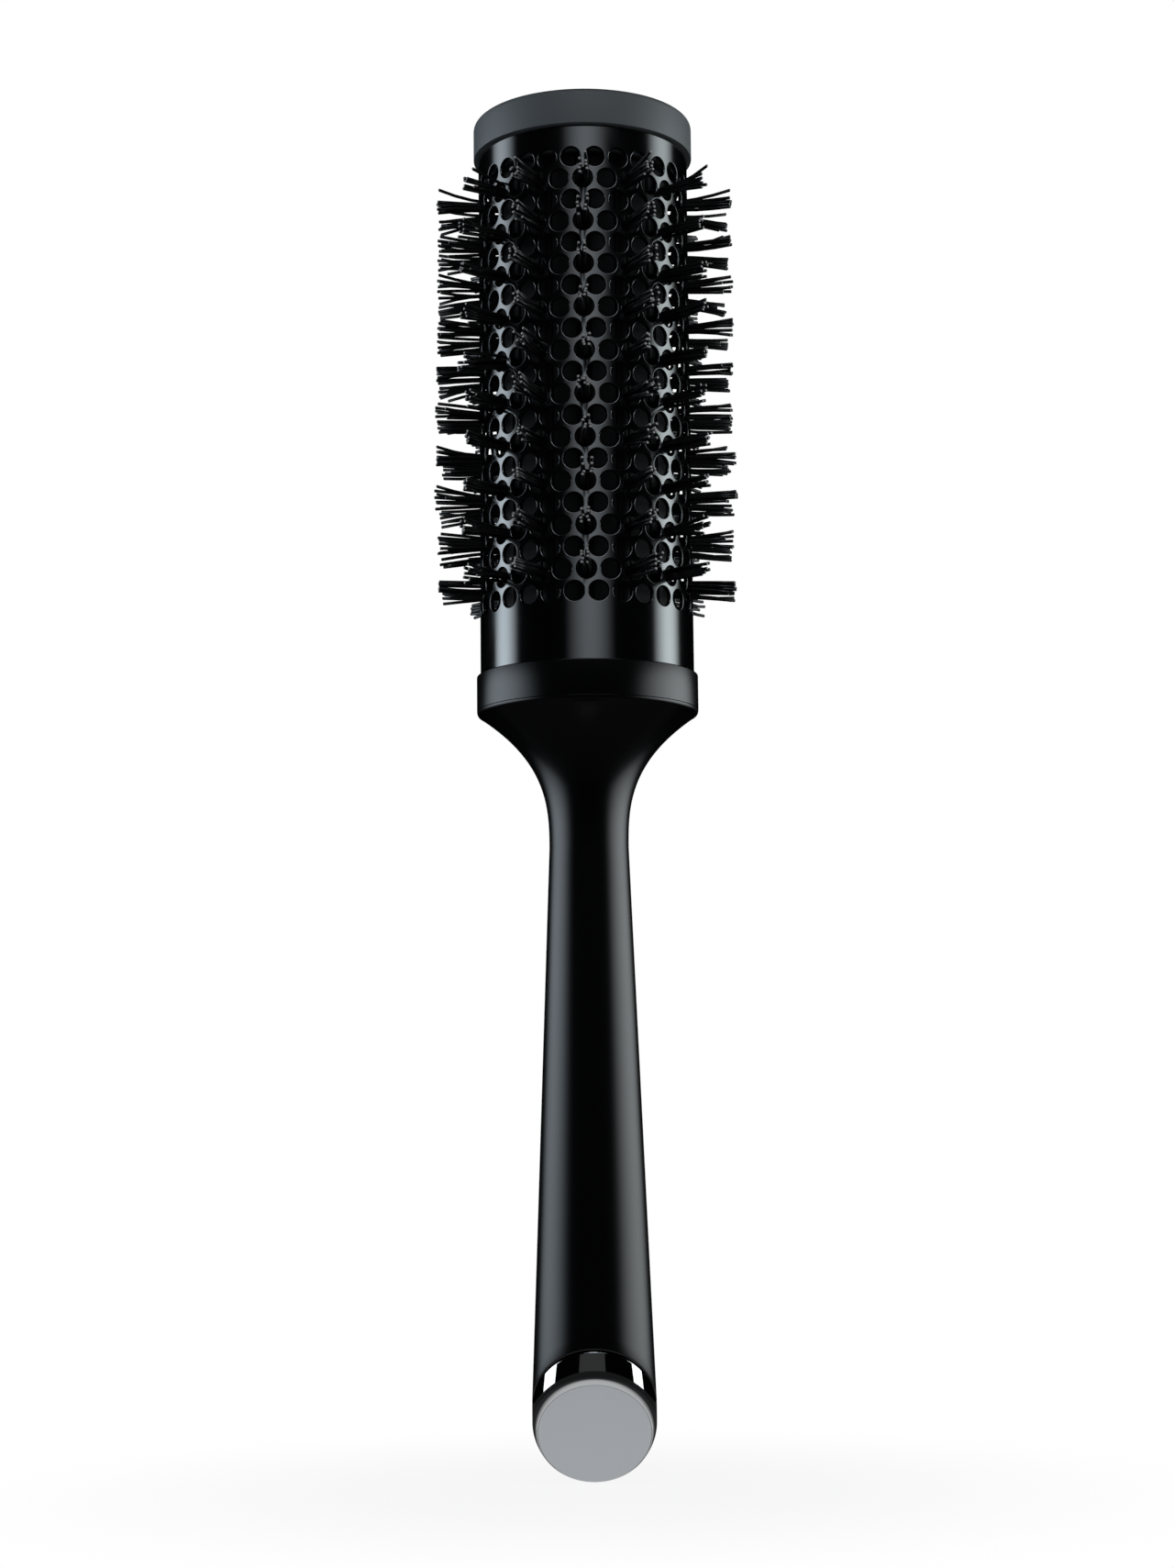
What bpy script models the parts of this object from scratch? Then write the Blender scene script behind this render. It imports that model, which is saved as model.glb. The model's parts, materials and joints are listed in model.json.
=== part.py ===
"""Round barrel brush for blow-drying: the construction, at real size in metres, with +Z along the brush.

The brush stands on the lowest edge of its slanted handle end, at Z = 0, with its axis on the Z axis.
The slanted end plate faces -Y, the front. Angles round the brush are counted from the front.
"""
import math

import bmesh
import bpy
from mathutils import Matrix, Vector

OBJECT_NAME = "round_barrel_brush"
CLEARANCE = 0.0003            # between pieces that touch

# Barrel and its vents
BARREL_D = 0.0450
BARREL_WALL = 0.0008
VENT_D = 0.0041
VENT_ROWS = 21
VENT_COLUMNS = 28
VENT_PITCH = 0.00460          # from row to row, along the brush
VENT_FIRST = 0.0141           # from the top of the collar to the lowest row
VENT_LAST = 0.0069            # from the highest row to the end cap

# Bristles
TUFT_LINES = 14
TUFT_REACH = 0.0105           # of the strands beyond the barrel
TUFT_STRANDS = (2, 3)         # strands of a tuft, by turns along a strip
STRAND_R = 0.00029
STRAND_ROOT = 0.0005          # how far a strand is sunk into its strip
TUFT_ROOT_SPREAD = 0.0015     # along the brush, between the outer strands of a tuft
TUFT_TIP_SPREAD = 0.0041
STRIP_WIDTH = 0.0026
STRIP_THICKNESS = 0.0015

# Carrier of the strips
CORE_WALL = 0.0030
CORE_GAP = 0.0035             # between the carrier and the bore of the barrel
TOP_DISC_THICKNESS = 0.0018
BOSS_HEIGHT = 0.0040          # of the bosses that enter the carrier's bore

# Rod, nut and washer
ROD_D = 0.0040
ROD_GRIP = 0.0200             # length of the rod in the handle core
ROD_STICKOUT = 0.0015         # of the rod above its nut
WASHER_D = 0.0100
WASHER_THICKNESS = 0.0008
NUT_ACROSS_CORNERS = 0.0081
NUT_HEIGHT = 0.0030

# End cap
CAP_OVERHANG = 0.0010         # of the cap beyond the side of the barrel
CAP_HEIGHT = 0.0077
CAP_EDGE_R = 0.0012
CAP_WALL = 0.0016
CAP_PLUG_DEPTH = 0.0050
CAP_PLUG_WALL = 0.0014

# Collar
COLLAR_WALL = 0.0005          # round the foot of the barrel
COLLAR_HEIGHT = 0.0074
COLLAR_FLOOR = 0.0020
COLLAR_EDGE_R = 0.0006

# Handle
HANDLE_LENGTH = 0.1487        # from the middle of the slanted end to the underside of the collar
NECK_D = 0.0166               # the narrowest place, under the flare
FLARE_STEP = 0.0002           # from the side of the collar in to the lip of the flare
FLARE_HEIGHT = 0.0285
FLARE_POWER = 2.8            # how late the flare opens
FLARE_LIP = 0.0004            # straight edge on top of the flare
FLARE_CROWDING = 1.3          # above 1, the sections of the flare crowd towards its lip
GRIP_END_D = 0.0254
GRIP_WALL = 0.0018
HANDLE_BORE_D = 0.0100
HANDLE_BORE_LENGTH = 0.1000
SPIGOT_HEIGHT = 0.0130
SPIGOT_WALL = 0.0018
SPIGOT_FLOOR = 0.0025

# Slanted end
END_SLANT = math.radians(42.5)   # between the end plate and a square cut
END_RIM_D = 0.0236
END_RIM_WALL = 0.0003
BAND_HEIGHT = 0.0059          # along the brush
BAND_EDGE_R = 0.0005
BAND_TAPER_HEIGHT = 0.0014
BAND_SPIGOT_LENGTH = 0.0140
PLATE_THICKNESS = 0.0012
SLANT_BLEND = 0.0320          # stretch of the handle in which square sections turn slanted

# Segments
BARREL_STEPS = 2 * VENT_COLUMNS
BODY_STEPS = 24
INNER_STEPS = 18
SMALL_STEPS = 12
NUT_STEPS = 6
VENT_SIDES = 4
STRAND_SIDES = 3
FLARE_STATIONS = 4
EDGE_STATIONS = 2
SMOOTH_ANGLE = math.radians(40)
MERGE_DISTANCE = 0.000001     # joins points that were drawn at the same place
WELD_DISTANCE = 0.00001       # joins points that a cut leaves almost at the same place

# Levels along the brush, each worked out from the one below
END_PLANE = END_RIM_D / 2 * math.tan(END_SLANT)
BAND_TOP = END_PLANE + BAND_HEIGHT
GRIP_CUT = BAND_TOP + CLEARANCE
SLANT_TOP = GRIP_CUT + SLANT_BLEND
COLLAR_BOTTOM = END_PLANE + HANDLE_LENGTH
GRIP_TOP = COLLAR_BOTTOM - CLEARANCE
FLARE_TOP = GRIP_TOP - FLARE_LIP
FLARE_BOTTOM = GRIP_TOP - FLARE_HEIGHT
COLLAR_TOP = COLLAR_BOTTOM + COLLAR_HEIGHT
BARREL_BOTTOM = COLLAR_BOTTOM + COLLAR_FLOOR + CLEARANCE
VENTS_BOTTOM = COLLAR_TOP + VENT_FIRST
VENTS_TOP = VENTS_BOTTOM + (VENT_ROWS - 1) * VENT_PITCH
CAP_BOTTOM = VENTS_TOP + VENT_LAST
BARREL_TOP = CAP_BOTTOM - CLEARANCE
CAP_TOP = CAP_BOTTOM + CAP_HEIGHT
SPIGOT_FLOOR_TOP = COLLAR_BOTTOM + SPIGOT_FLOOR
SPIGOT_TOP = COLLAR_BOTTOM + SPIGOT_HEIGHT
CORE_BOTTOM = SPIGOT_FLOOR_TOP + CLEARANCE
PLUG_BOTTOM = CAP_BOTTOM - CAP_PLUG_DEPTH
TOP_DISC_BOTTOM = PLUG_BOTTOM + CLEARANCE
TOP_DISC_TOP = TOP_DISC_BOTTOM + TOP_DISC_THICKNESS
CORE_TOP = TOP_DISC_BOTTOM - CLEARANCE
WASHER_BOTTOM = TOP_DISC_TOP + CLEARANCE
NUT_BOTTOM = WASHER_BOTTOM + WASHER_THICKNESS + CLEARANCE
ROD_TOP = NUT_BOTTOM + NUT_HEIGHT + ROD_STICKOUT
ROD_BOTTOM = SPIGOT_FLOOR_TOP - ROD_GRIP

# Radii that follow from what they fit
BARREL_R = BARREL_D / 2
BARREL_BORE_R = BARREL_R - BARREL_WALL
SPIGOT_R = BARREL_BORE_R - CLEARANCE
CAP_R = BARREL_R + CAP_OVERHANG
COLLAR_BORE_R = BARREL_R + CLEARANCE
COLLAR_R = COLLAR_BORE_R + COLLAR_WALL
FLARE_R = COLLAR_R - FLARE_STEP
NECK_R = NECK_D / 2
TUFT_TIP_R = BARREL_R + TUFT_REACH
CORE_R = BARREL_BORE_R - CORE_GAP
CORE_BORE_R = CORE_R - CORE_WALL
BOSS_R = CORE_BORE_R - CLEARANCE
ROD_R = ROD_D / 2
ROD_HOLE_R = ROD_R + CLEARANCE
PLUG_R = BARREL_BORE_R - CLEARANCE
PLUG_BORE_R = PLUG_R - CAP_PLUG_WALL
TOP_DISC_R = PLUG_BORE_R - CLEARANCE
GRIP_END_R = GRIP_END_D / 2
HANDLE_BORE_R = HANDLE_BORE_D / 2
BAND_SPIGOT_R = HANDLE_BORE_R - CLEARANCE
END_RIM_R = END_RIM_D / 2
PLATE_SEAT_R = END_RIM_R - END_RIM_WALL
PLATE_R = PLATE_SEAT_R - CLEARANCE
PLATE_RISE = PLATE_THICKNESS / math.cos(END_SLANT)   # the plate's thickness, along the brush
GROOVE_DEPTH = STRIP_THICKNESS + CLEARANCE
GROOVE_WIDTH = STRIP_WIDTH + 2 * CLEARANCE


def start():
    """Empty the scene and return the collections for the parts and for the cutters."""
    for old in list(bpy.data.objects):
        bpy.data.objects.remove(old)
    collections = []
    for name in (OBJECT_NAME, "cutters"):
        collection = bpy.data.collections.new(name)
        bpy.context.scene.collection.children.link(collection)
        collections.append(collection)
    return collections


def material(name, colour, roughness, metallic=0.0):
    """A Principled material of one colour."""
    made = bpy.data.materials.new(name)
    made.use_nodes = True
    shader = made.node_tree.nodes["Principled BSDF"]
    shader.inputs["Base Color"].default_value = (*colour, 1.0)
    shader.inputs["Roughness"].default_value = roughness
    shader.inputs["Metallic"].default_value = metallic
    return made


def add_object(name, mesh, finish, collection):
    """Put a mesh in the scene as one named object, shaded smooth except at sharp edges."""
    placed = bpy.data.objects.new(name, mesh)
    collection.objects.link(placed)
    if finish:
        mesh.materials.append(finish)
    mesh.shade_smooth()
    mesh.set_sharp_from_angle(angle=SMOOTH_ANGLE)
    return placed


def turned(name, profile, steps, finish, collection):
    """A turned piece: (radius, height) points, down the outer side, spun by a Screw modifier.

    A profile that starts and ends on the axis is left open there. Any other is closed to a ring.
    """
    on_axis = profile[0][0] == 0 and profile[-1][0] == 0
    count = len(profile)
    edges = [(i, i + 1) for i in range(count - 1)]
    if not on_axis:
        edges.append((count - 1, 0))
    mesh = bpy.data.meshes.new(name)
    mesh.from_pydata([(radius, 0, height) for radius, height in profile], edges, [])
    placed = add_object(name, mesh, finish, collection)
    screw = placed.modifiers.new("turn", "SCREW")
    screw.axis = "Z"
    screw.angle = 2 * math.pi
    screw.steps = steps
    screw.render_steps = steps
    screw.use_merge_vertices = True
    screw.merge_threshold = MERGE_DISTANCE
    screw.use_smooth_shade = True
    return placed


def applied(placed):
    """Turn an object's modifiers into its mesh, so that its points can be moved."""
    evaluated = placed.evaluated_get(bpy.context.evaluated_depsgraph_get())
    mesh = bpy.data.meshes.new_from_object(evaluated)
    placed.modifiers.clear()
    placed.data = mesh
    mesh.set_sharp_from_angle(angle=SMOOTH_ANGLE)
    return placed


def slanted(placed, top):
    """Shear the part of a turned piece below a level, so that its square end becomes the slanted end."""
    applied(placed)
    for vertex in placed.data.vertices:
        if vertex.co.z < top:
            vertex.co.z -= vertex.co.y * math.tan(END_SLANT)
    return placed


def cut(placed, cutter):
    """Cut a piece with an exact Boolean."""
    boolean = placed.modifiers.new("cut", "BOOLEAN")
    boolean.operation = "DIFFERENCE"
    boolean.object = cutter
    boolean.solver = "EXACT"


def join(placed, tool):
    """Fuse another mesh to a piece with an exact Boolean."""
    boolean = placed.modifiers.new("join", "BOOLEAN")
    boolean.operation = "UNION"
    boolean.object = tool
    boolean.solver = "EXACT"


def hidden(placed):
    """Mark a cutter so that it is left out of the part."""
    placed.hide_render = True
    placed.display_type = "WIRE"
    return placed


def outward(angle):
    """Turn a radial shape, drawn along +X, to an angle round the brush that is counted from the front."""
    return Matrix.Rotation(angle - math.pi / 2, 4, "Z")


def rounded_edge(radius, level, edge_radius, going_down=True):
    """Points of a quarter round at an outer edge, from the flat to the side or from the side to the flat."""
    points = []
    for i in range(EDGE_STATIONS + 1):
        turn = math.pi / 2 * i / EDGE_STATIONS
        if going_down:
            points.append((radius - edge_radius * (1 - math.sin(turn)),
                           level - edge_radius * (1 - math.cos(turn))))
        else:
            points.append((radius - edge_radius * (1 - math.cos(turn)),
                           level + edge_radius * (1 - math.sin(turn))))
    return points


def handle_radius(level):
    """Outer radius of the grip: a slim cone that opens into a flare under the collar."""
    if level >= FLARE_BOTTOM:
        share = min((level - FLARE_BOTTOM) / (FLARE_TOP - FLARE_BOTTOM), 1.0)
        return NECK_R + (FLARE_R - NECK_R) * share ** FLARE_POWER
    share = (FLARE_BOTTOM - level) / (FLARE_BOTTOM - GRIP_CUT)
    return NECK_R + (GRIP_END_R - NECK_R) * share


def handle_side(inset):
    """Points down the side of the handle, from the top of the flare to the slanted end, set in evenly."""
    levels = [GRIP_TOP, FLARE_TOP]
    for i in range(1, FLARE_STATIONS):
        levels.append(FLARE_TOP - (FLARE_TOP - FLARE_BOTTOM) * (i / FLARE_STATIONS) ** FLARE_CROWDING)
    levels += [FLARE_BOTTOM, SLANT_TOP, GRIP_CUT]
    return [(handle_radius(level - inset) - inset if level > FLARE_BOTTOM else handle_radius(level) - inset,
             level) for level in levels]


def vent_angles(row):
    """Angles of the vents of a row: every other row is shifted by half a column."""
    shift = 0.5 if row % 2 == 0 else 0.0
    return [2 * math.pi * (column + shift) / VENT_COLUMNS for column in range(VENT_COLUMNS)]


def make_vent_cutter(collection):
    """All vents as four-sided plugs that stand through the wall of the barrel."""
    shapes = bmesh.new()
    plug = Matrix.Rotation(math.pi / 2, 4, "Y")
    for row in range(VENT_ROWS):
        place = Matrix.Translation((BARREL_R - BARREL_WALL / 2, 0, VENTS_BOTTOM + row * VENT_PITCH))
        for angle in vent_angles(row):
            bmesh.ops.create_cone(shapes, cap_ends=True, segments=VENT_SIDES, radius1=VENT_D / 2,
                                  radius2=VENT_D / 2, depth=3 * BARREL_WALL,
                                  matrix=outward(angle) @ place @ plug)
    mesh = bpy.data.meshes.new("vent_cutter")
    shapes.to_mesh(mesh)
    shapes.free()
    return hidden(add_object("vent_cutter", mesh, None, collection))


def make_barrel(parts, cutters):
    """The vented tube. Its facets meet on the middle lines of the vents."""
    finish = material("barrel_coating", (0.012, 0.013, 0.015), 0.18, 0.6)
    profile = [(BARREL_BORE_R, BARREL_TOP), (BARREL_R, BARREL_TOP),
               (BARREL_R, BARREL_BOTTOM), (BARREL_BORE_R, BARREL_BOTTOM)]
    barrel = turned("barrel", profile, BARREL_STEPS, finish, parts)
    cut(barrel, make_vent_cutter(cutters))
    weld = barrel.modifiers.new("weld", "WELD")
    weld.merge_threshold = WELD_DISTANCE


def make_end_cap(parts):
    """The cap: a cup with a rounded edge and a plug that enters the barrel and holds the top disc."""
    finish = material("cap_plastic", (0.02, 0.021, 0.023), 0.45)
    profile = [(0, CAP_TOP)] + rounded_edge(CAP_R, CAP_TOP, CAP_EDGE_R)
    profile += [(CAP_R, CAP_BOTTOM), (PLUG_R, CAP_BOTTOM), (PLUG_R, PLUG_BOTTOM),
                (PLUG_BORE_R, PLUG_BOTTOM), (PLUG_BORE_R, CAP_TOP - CAP_WALL), (0, CAP_TOP - CAP_WALL)]
    turned("end_cap", profile, BODY_STEPS, finish, parts)


def make_barrel_collar(parts):
    """The ring that the barrel stands in: a thin wall outside it and a floor under its end."""
    finish = material("collar_plastic", (0.02, 0.021, 0.023), 0.45)
    floor_top = COLLAR_BOTTOM + COLLAR_FLOOR
    profile = [(COLLAR_BORE_R, COLLAR_TOP), (COLLAR_R, COLLAR_TOP)]
    profile += rounded_edge(COLLAR_R, COLLAR_BOTTOM, COLLAR_EDGE_R, going_down=False)
    profile += [(SPIGOT_R + CLEARANCE, COLLAR_BOTTOM), (SPIGOT_R + CLEARANCE, floor_top),
                (COLLAR_BORE_R, floor_top)]
    turned("barrel_collar", profile, BODY_STEPS, finish, parts)


def groove_outline():
    """Outline of the carrier: a circle with one flat-bottomed groove for each strip."""
    half = GROOVE_WIDTH / 2
    rim_x = math.sqrt(CORE_R ** 2 - half ** 2)
    corners = [(rim_x, -half), (CORE_R - GROOVE_DEPTH, -half), (CORE_R - GROOVE_DEPTH, half), (rim_x, half)]
    points = []
    for line in range(TUFT_LINES):
        turn = outward(2 * math.pi * line / TUFT_LINES)
        points += [turn @ Vector((x, y, 0)) for x, y in corners]
    return points


def make_bristle_core(parts):
    """The carrier: a grooved tube, extruded from its outline."""
    finish = material("core_plastic", (0.03, 0.03, 0.03), 0.5)
    curve = bpy.data.curves.new("bristle_core", "CURVE")
    curve.dimensions = "2D"
    curve.fill_mode = "BOTH"
    curve.extrude = (CORE_TOP - CORE_BOTTOM) / 2
    bore = [outward(2 * math.pi * i / INNER_STEPS) @ Vector((CORE_BORE_R, 0, 0)) for i in range(INNER_STEPS)]
    for outline in (groove_outline(), bore):
        spline = curve.splines.new("POLY")
        spline.points.add(len(outline) - 1)
        spline.use_cyclic_u = True
        for point, place in zip(spline.points, outline):
            point.co = (*place, 1.0)
    drawn = bpy.data.objects.new("bristle_core_outline", curve)
    parts.objects.link(drawn)
    mesh = bpy.data.meshes.new_from_object(drawn.evaluated_get(bpy.context.evaluated_depsgraph_get()))
    shapes = bmesh.new()
    shapes.from_mesh(mesh)
    bmesh.ops.remove_doubles(shapes, verts=shapes.verts, dist=MERGE_DISTANCE)
    shapes.to_mesh(mesh)
    shapes.free()
    bpy.data.objects.remove(drawn)
    core = add_object("bristle_core", mesh, finish, parts)
    core.location.z = (CORE_TOP + CORE_BOTTOM) / 2


def strand_matrix(root, tip):
    """Place a unit cylinder, drawn along Z from -1/2 to 1/2, between two points."""
    direction = tip - root
    turn = Vector((0, 0, 1)).rotation_difference(direction).to_matrix().to_4x4()
    return Matrix.Translation((root + tip) / 2) @ turn @ Matrix.Diagonal((1, 1, direction.length, 1))


def tuft_levels():
    """Levels of the tufts: one at each row of vents that is not shifted."""
    return [VENTS_BOTTOM + row * VENT_PITCH for row in range(1, VENT_ROWS, 2)]


def strand_mesh():
    """The strands of one strip, drawn along +X: three-sided, and spread along the brush in each tuft."""
    shapes = bmesh.new()
    for tuft, level in enumerate(tuft_levels()):
        count = TUFT_STRANDS[tuft % len(TUFT_STRANDS)]
        for i in range(count):
            share = i / (count - 1) - 0.5
            root = Vector((CORE_R - STRAND_ROOT, 0, level + share * TUFT_ROOT_SPREAD))
            tip = Vector((TUFT_TIP_R, 0, level + share * TUFT_TIP_SPREAD))
            bmesh.ops.create_cone(shapes, cap_ends=True, segments=STRAND_SIDES, radius1=STRAND_R,
                                  radius2=STRAND_R, depth=1.0, matrix=strand_matrix(root, tip))
    mesh = bpy.data.meshes.new("strands")
    shapes.to_mesh(mesh)
    shapes.free()
    return mesh


def make_bristle_strips(parts, cutters):
    """The strips: a slim bar in each groove of the carrier, with its strands fused on."""
    nylon = material("bristle_nylon", (0.008, 0.008, 0.009), 0.35)
    strands = strand_mesh()
    for line in range(TUFT_LINES):
        turn = outward(2 * math.pi * line / TUFT_LINES)
        name = f"bristle_strip_{line + 1:02d}"
        shapes = bmesh.new()
        size = Matrix.Diagonal((STRIP_THICKNESS, STRIP_WIDTH, CORE_TOP - CORE_BOTTOM, 1))
        middle = Vector((CORE_R - STRIP_THICKNESS / 2, 0, (CORE_TOP + CORE_BOTTOM) / 2))
        bmesh.ops.create_cube(shapes, size=1.0, matrix=Matrix.Translation(middle) @ size)
        mesh = bpy.data.meshes.new(name)
        shapes.to_mesh(mesh)
        shapes.free()
        strip = add_object(name, mesh, nylon, parts)
        strip.matrix_world = turn
        tool = hidden(add_object(f"strands_{line + 1:02d}", strands.copy(), None, cutters))
        tool.matrix_world = turn
        join(strip, tool)


def make_core_top_disc(parts):
    """The disc that centres the carrier in the cap, with a boss in the carrier's bore."""
    finish = material("top_disc_plastic", (0.03, 0.03, 0.03), 0.5)
    profile = [(ROD_HOLE_R, TOP_DISC_TOP), (TOP_DISC_R, TOP_DISC_TOP), (TOP_DISC_R, TOP_DISC_BOTTOM),
               (BOSS_R, TOP_DISC_BOTTOM), (BOSS_R, TOP_DISC_BOTTOM - BOSS_HEIGHT),
               (ROD_HOLE_R, TOP_DISC_BOTTOM - BOSS_HEIGHT)]
    turned("core_top_disc", profile, INNER_STEPS, finish, parts)


def make_rod(parts):
    """The rod, its washer and its hexagonal nut."""
    steel = material("rod_steel", (0.55, 0.55, 0.56), 0.35, 1.0)
    profile = [(0, ROD_TOP), (ROD_R, ROD_TOP), (ROD_R, ROD_BOTTOM), (0, ROD_BOTTOM)]
    turned("centre_rod", profile, SMALL_STEPS, steel, parts)
    zinc = material("fastener_steel", (0.6, 0.6, 0.6), 0.3, 1.0)
    top = WASHER_BOTTOM + WASHER_THICKNESS
    profile = [(ROD_HOLE_R, top), (WASHER_D / 2, top),
               (WASHER_D / 2, WASHER_BOTTOM), (ROD_HOLE_R, WASHER_BOTTOM)]
    turned("rod_washer", profile, SMALL_STEPS, zinc, parts)
    top = NUT_BOTTOM + NUT_HEIGHT
    profile = [(ROD_HOLE_R, top), (NUT_ACROSS_CORNERS / 2, top),
               (NUT_ACROSS_CORNERS / 2, NUT_BOTTOM), (ROD_HOLE_R, NUT_BOTTOM)]
    turned("rod_nut", profile, NUT_STEPS, zinc, parts)


def make_handle_core(parts):
    """The rigid core: blind rod bore, cup-shaped spigot for barrel and carrier, and a long lower bore."""
    finish = material("handle_core_plastic", (0.03, 0.03, 0.03), 0.5)
    rod_stop = ROD_BOTTOM - CLEARANCE
    bore_stop = GRIP_CUT + HANDLE_BORE_LENGTH
    boss_top = SPIGOT_FLOOR_TOP + BOSS_HEIGHT
    cup_r = SPIGOT_R - SPIGOT_WALL
    side = handle_side(GRIP_WALL + CLEARANCE)
    profile = [(0, rod_stop), (ROD_HOLE_R, rod_stop), (ROD_HOLE_R, boss_top), (BOSS_R, boss_top),
               (BOSS_R, SPIGOT_FLOOR_TOP), (cup_r, SPIGOT_FLOOR_TOP), (cup_r, SPIGOT_TOP),
               (SPIGOT_R, SPIGOT_TOP), (SPIGOT_R, COLLAR_BOTTOM), (side[0][0], COLLAR_BOTTOM)]
    profile += side[1:]
    profile += [(HANDLE_BORE_R, GRIP_CUT), (HANDLE_BORE_R, bore_stop), (0, bore_stop)]
    slanted(turned("handle_core", profile, INNER_STEPS, finish, parts), SLANT_TOP - CLEARANCE)


def make_handle_grip(parts):
    """The soft-touch skin of the handle, open at both ends."""
    finish = material("grip_soft_touch", (0.018, 0.019, 0.021), 0.5)
    inner = handle_side(GRIP_WALL)
    profile = handle_side(0) + inner[::-1]
    slanted(turned("handle_grip", profile, BODY_STEPS, finish, parts), SLANT_TOP - CLEARANCE)


def make_end_band(parts):
    """The polished plug that closes the slanted end: a spigot, a tapering side and a rim round the plate."""
    finish = material("band_chrome", (0.55, 0.56, 0.57), 0.05, 1.0)
    seat = END_PLANE + PLATE_RISE + CLEARANCE
    spigot_top = BAND_TOP + BAND_SPIGOT_LENGTH
    profile = [(0, spigot_top), (BAND_SPIGOT_R, spigot_top), (BAND_SPIGOT_R, BAND_TOP)]
    profile += rounded_edge(GRIP_END_R, BAND_TOP, BAND_EDGE_R)
    profile += [(GRIP_END_R, END_PLANE + BAND_TAPER_HEIGHT), (END_RIM_R, END_PLANE),
                (PLATE_SEAT_R, END_PLANE), (PLATE_SEAT_R, seat), (0, seat)]
    slanted(turned("end_band", profile, BODY_STEPS, finish, parts), spigot_top + CLEARANCE)


def make_end_plate(parts):
    """The satin disc let into the slanted end, flush with its rim."""
    finish = material("plate_satin", (0.34, 0.36, 0.38), 0.4, 0.8)
    top = END_PLANE + PLATE_RISE
    profile = [(0, top), (PLATE_R, top), (PLATE_R, END_PLANE), (0, END_PLANE)]
    slanted(turned("end_plate", profile, BODY_STEPS, finish, parts), top + CLEARANCE)


def build():
    """Make every piece."""
    parts, cutters = start()
    make_barrel(parts, cutters)
    make_end_cap(parts)
    make_barrel_collar(parts)
    make_bristle_core(parts)
    make_bristle_strips(parts, cutters)
    make_core_top_disc(parts)
    make_rod(parts)
    make_handle_core(parts)
    make_handle_grip(parts)
    make_end_band(parts)
    make_end_plate(parts)


build()
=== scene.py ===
# %% [markdown]
# # The looks of a round barrel brush
#
# A hairdresser winds hair round this brush and dries it: hot air goes in and out through the vents of a
# metal barrel, and nylon bristles that stand out through some of the vents hold the hair. A soft handle
# ends in a slanted metal disc.
#
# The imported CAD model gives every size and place, so this script starts by loading it. Each visible piece
# is then made again with its fine shape, or keeps its CAD shape, and gets its finish.
#
# Units are metres. The brush stands on the lowest edge of its slanted end at Z = 0, and its axis is the
# Z axis. The disc faces -Y, the front, and angles round the brush are counted from there.

# %% The frame
import json
import math

import bpy
import numpy as np
from mathutils import Matrix, Vector

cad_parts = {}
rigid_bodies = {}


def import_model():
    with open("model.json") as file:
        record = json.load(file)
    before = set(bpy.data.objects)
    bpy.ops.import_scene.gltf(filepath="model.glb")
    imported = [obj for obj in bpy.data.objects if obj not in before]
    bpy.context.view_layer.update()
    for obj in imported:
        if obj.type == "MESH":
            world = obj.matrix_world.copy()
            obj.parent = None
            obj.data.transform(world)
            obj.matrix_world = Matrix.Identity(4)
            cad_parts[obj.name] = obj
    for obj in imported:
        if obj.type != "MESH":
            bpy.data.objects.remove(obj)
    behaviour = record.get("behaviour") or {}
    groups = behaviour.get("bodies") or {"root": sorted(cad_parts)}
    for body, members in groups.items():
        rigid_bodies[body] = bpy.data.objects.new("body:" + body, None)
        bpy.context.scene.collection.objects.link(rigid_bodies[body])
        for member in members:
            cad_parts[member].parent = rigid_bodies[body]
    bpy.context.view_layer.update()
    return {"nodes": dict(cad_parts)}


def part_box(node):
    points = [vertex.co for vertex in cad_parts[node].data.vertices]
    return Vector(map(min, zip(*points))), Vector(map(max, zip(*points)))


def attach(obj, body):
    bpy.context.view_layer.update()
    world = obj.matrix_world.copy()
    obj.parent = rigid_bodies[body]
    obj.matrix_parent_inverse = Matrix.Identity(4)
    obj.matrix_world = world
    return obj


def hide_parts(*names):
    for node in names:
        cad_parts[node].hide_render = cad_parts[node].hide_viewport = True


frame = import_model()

# %% [markdown]
# ## Sizes
#
# The frame tells how big each piece is and where it stands, so most sizes are read from it. What a box
# can't tell, such as the size of a vent or the curve of the flare, is a named value here.

# %% Sizes from the frame
CLEARANCE = 0.0003            # between pieces that touch

barrel_low, barrel_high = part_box("barrel")
BARREL_R = barrel_high.x
BARREL_BOTTOM = barrel_low.z
BARREL_TOP = barrel_high.z

CAP_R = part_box("end_cap")[1].x
PLUG_BOTTOM, CAP_TOP = (corner.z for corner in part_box("end_cap"))
CAP_BOTTOM = BARREL_TOP + CLEARANCE

COLLAR_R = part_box("barrel_collar")[1].x
COLLAR_BOTTOM, COLLAR_TOP = (corner.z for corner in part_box("barrel_collar"))

FLARE_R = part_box("handle_grip")[1].x
GRIP_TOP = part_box("handle_grip")[1].z

CORE_BOTTOM, CORE_TOP = (corner.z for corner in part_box("bristle_core"))

# %% Sizes that a box can't tell
BARREL_WALL = 0.0008
BARREL_BORE_R = BARREL_R - BARREL_WALL
VENT_R = 0.00205
VENT_ROWS = 21
VENT_COLUMNS = 28
VENT_PITCH = 0.00460          # from row to row
VENT_FIRST = 0.0141           # from the top of the collar to the lowest row

TUFT_LINES = 14
CORE_R = 0.0182               # outside of the carrier that holds the bristle strips

CAP_WALL = 0.0016
CAP_PLUG_WALL = 0.0014
COLLAR_FLOOR = 0.0020

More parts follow.
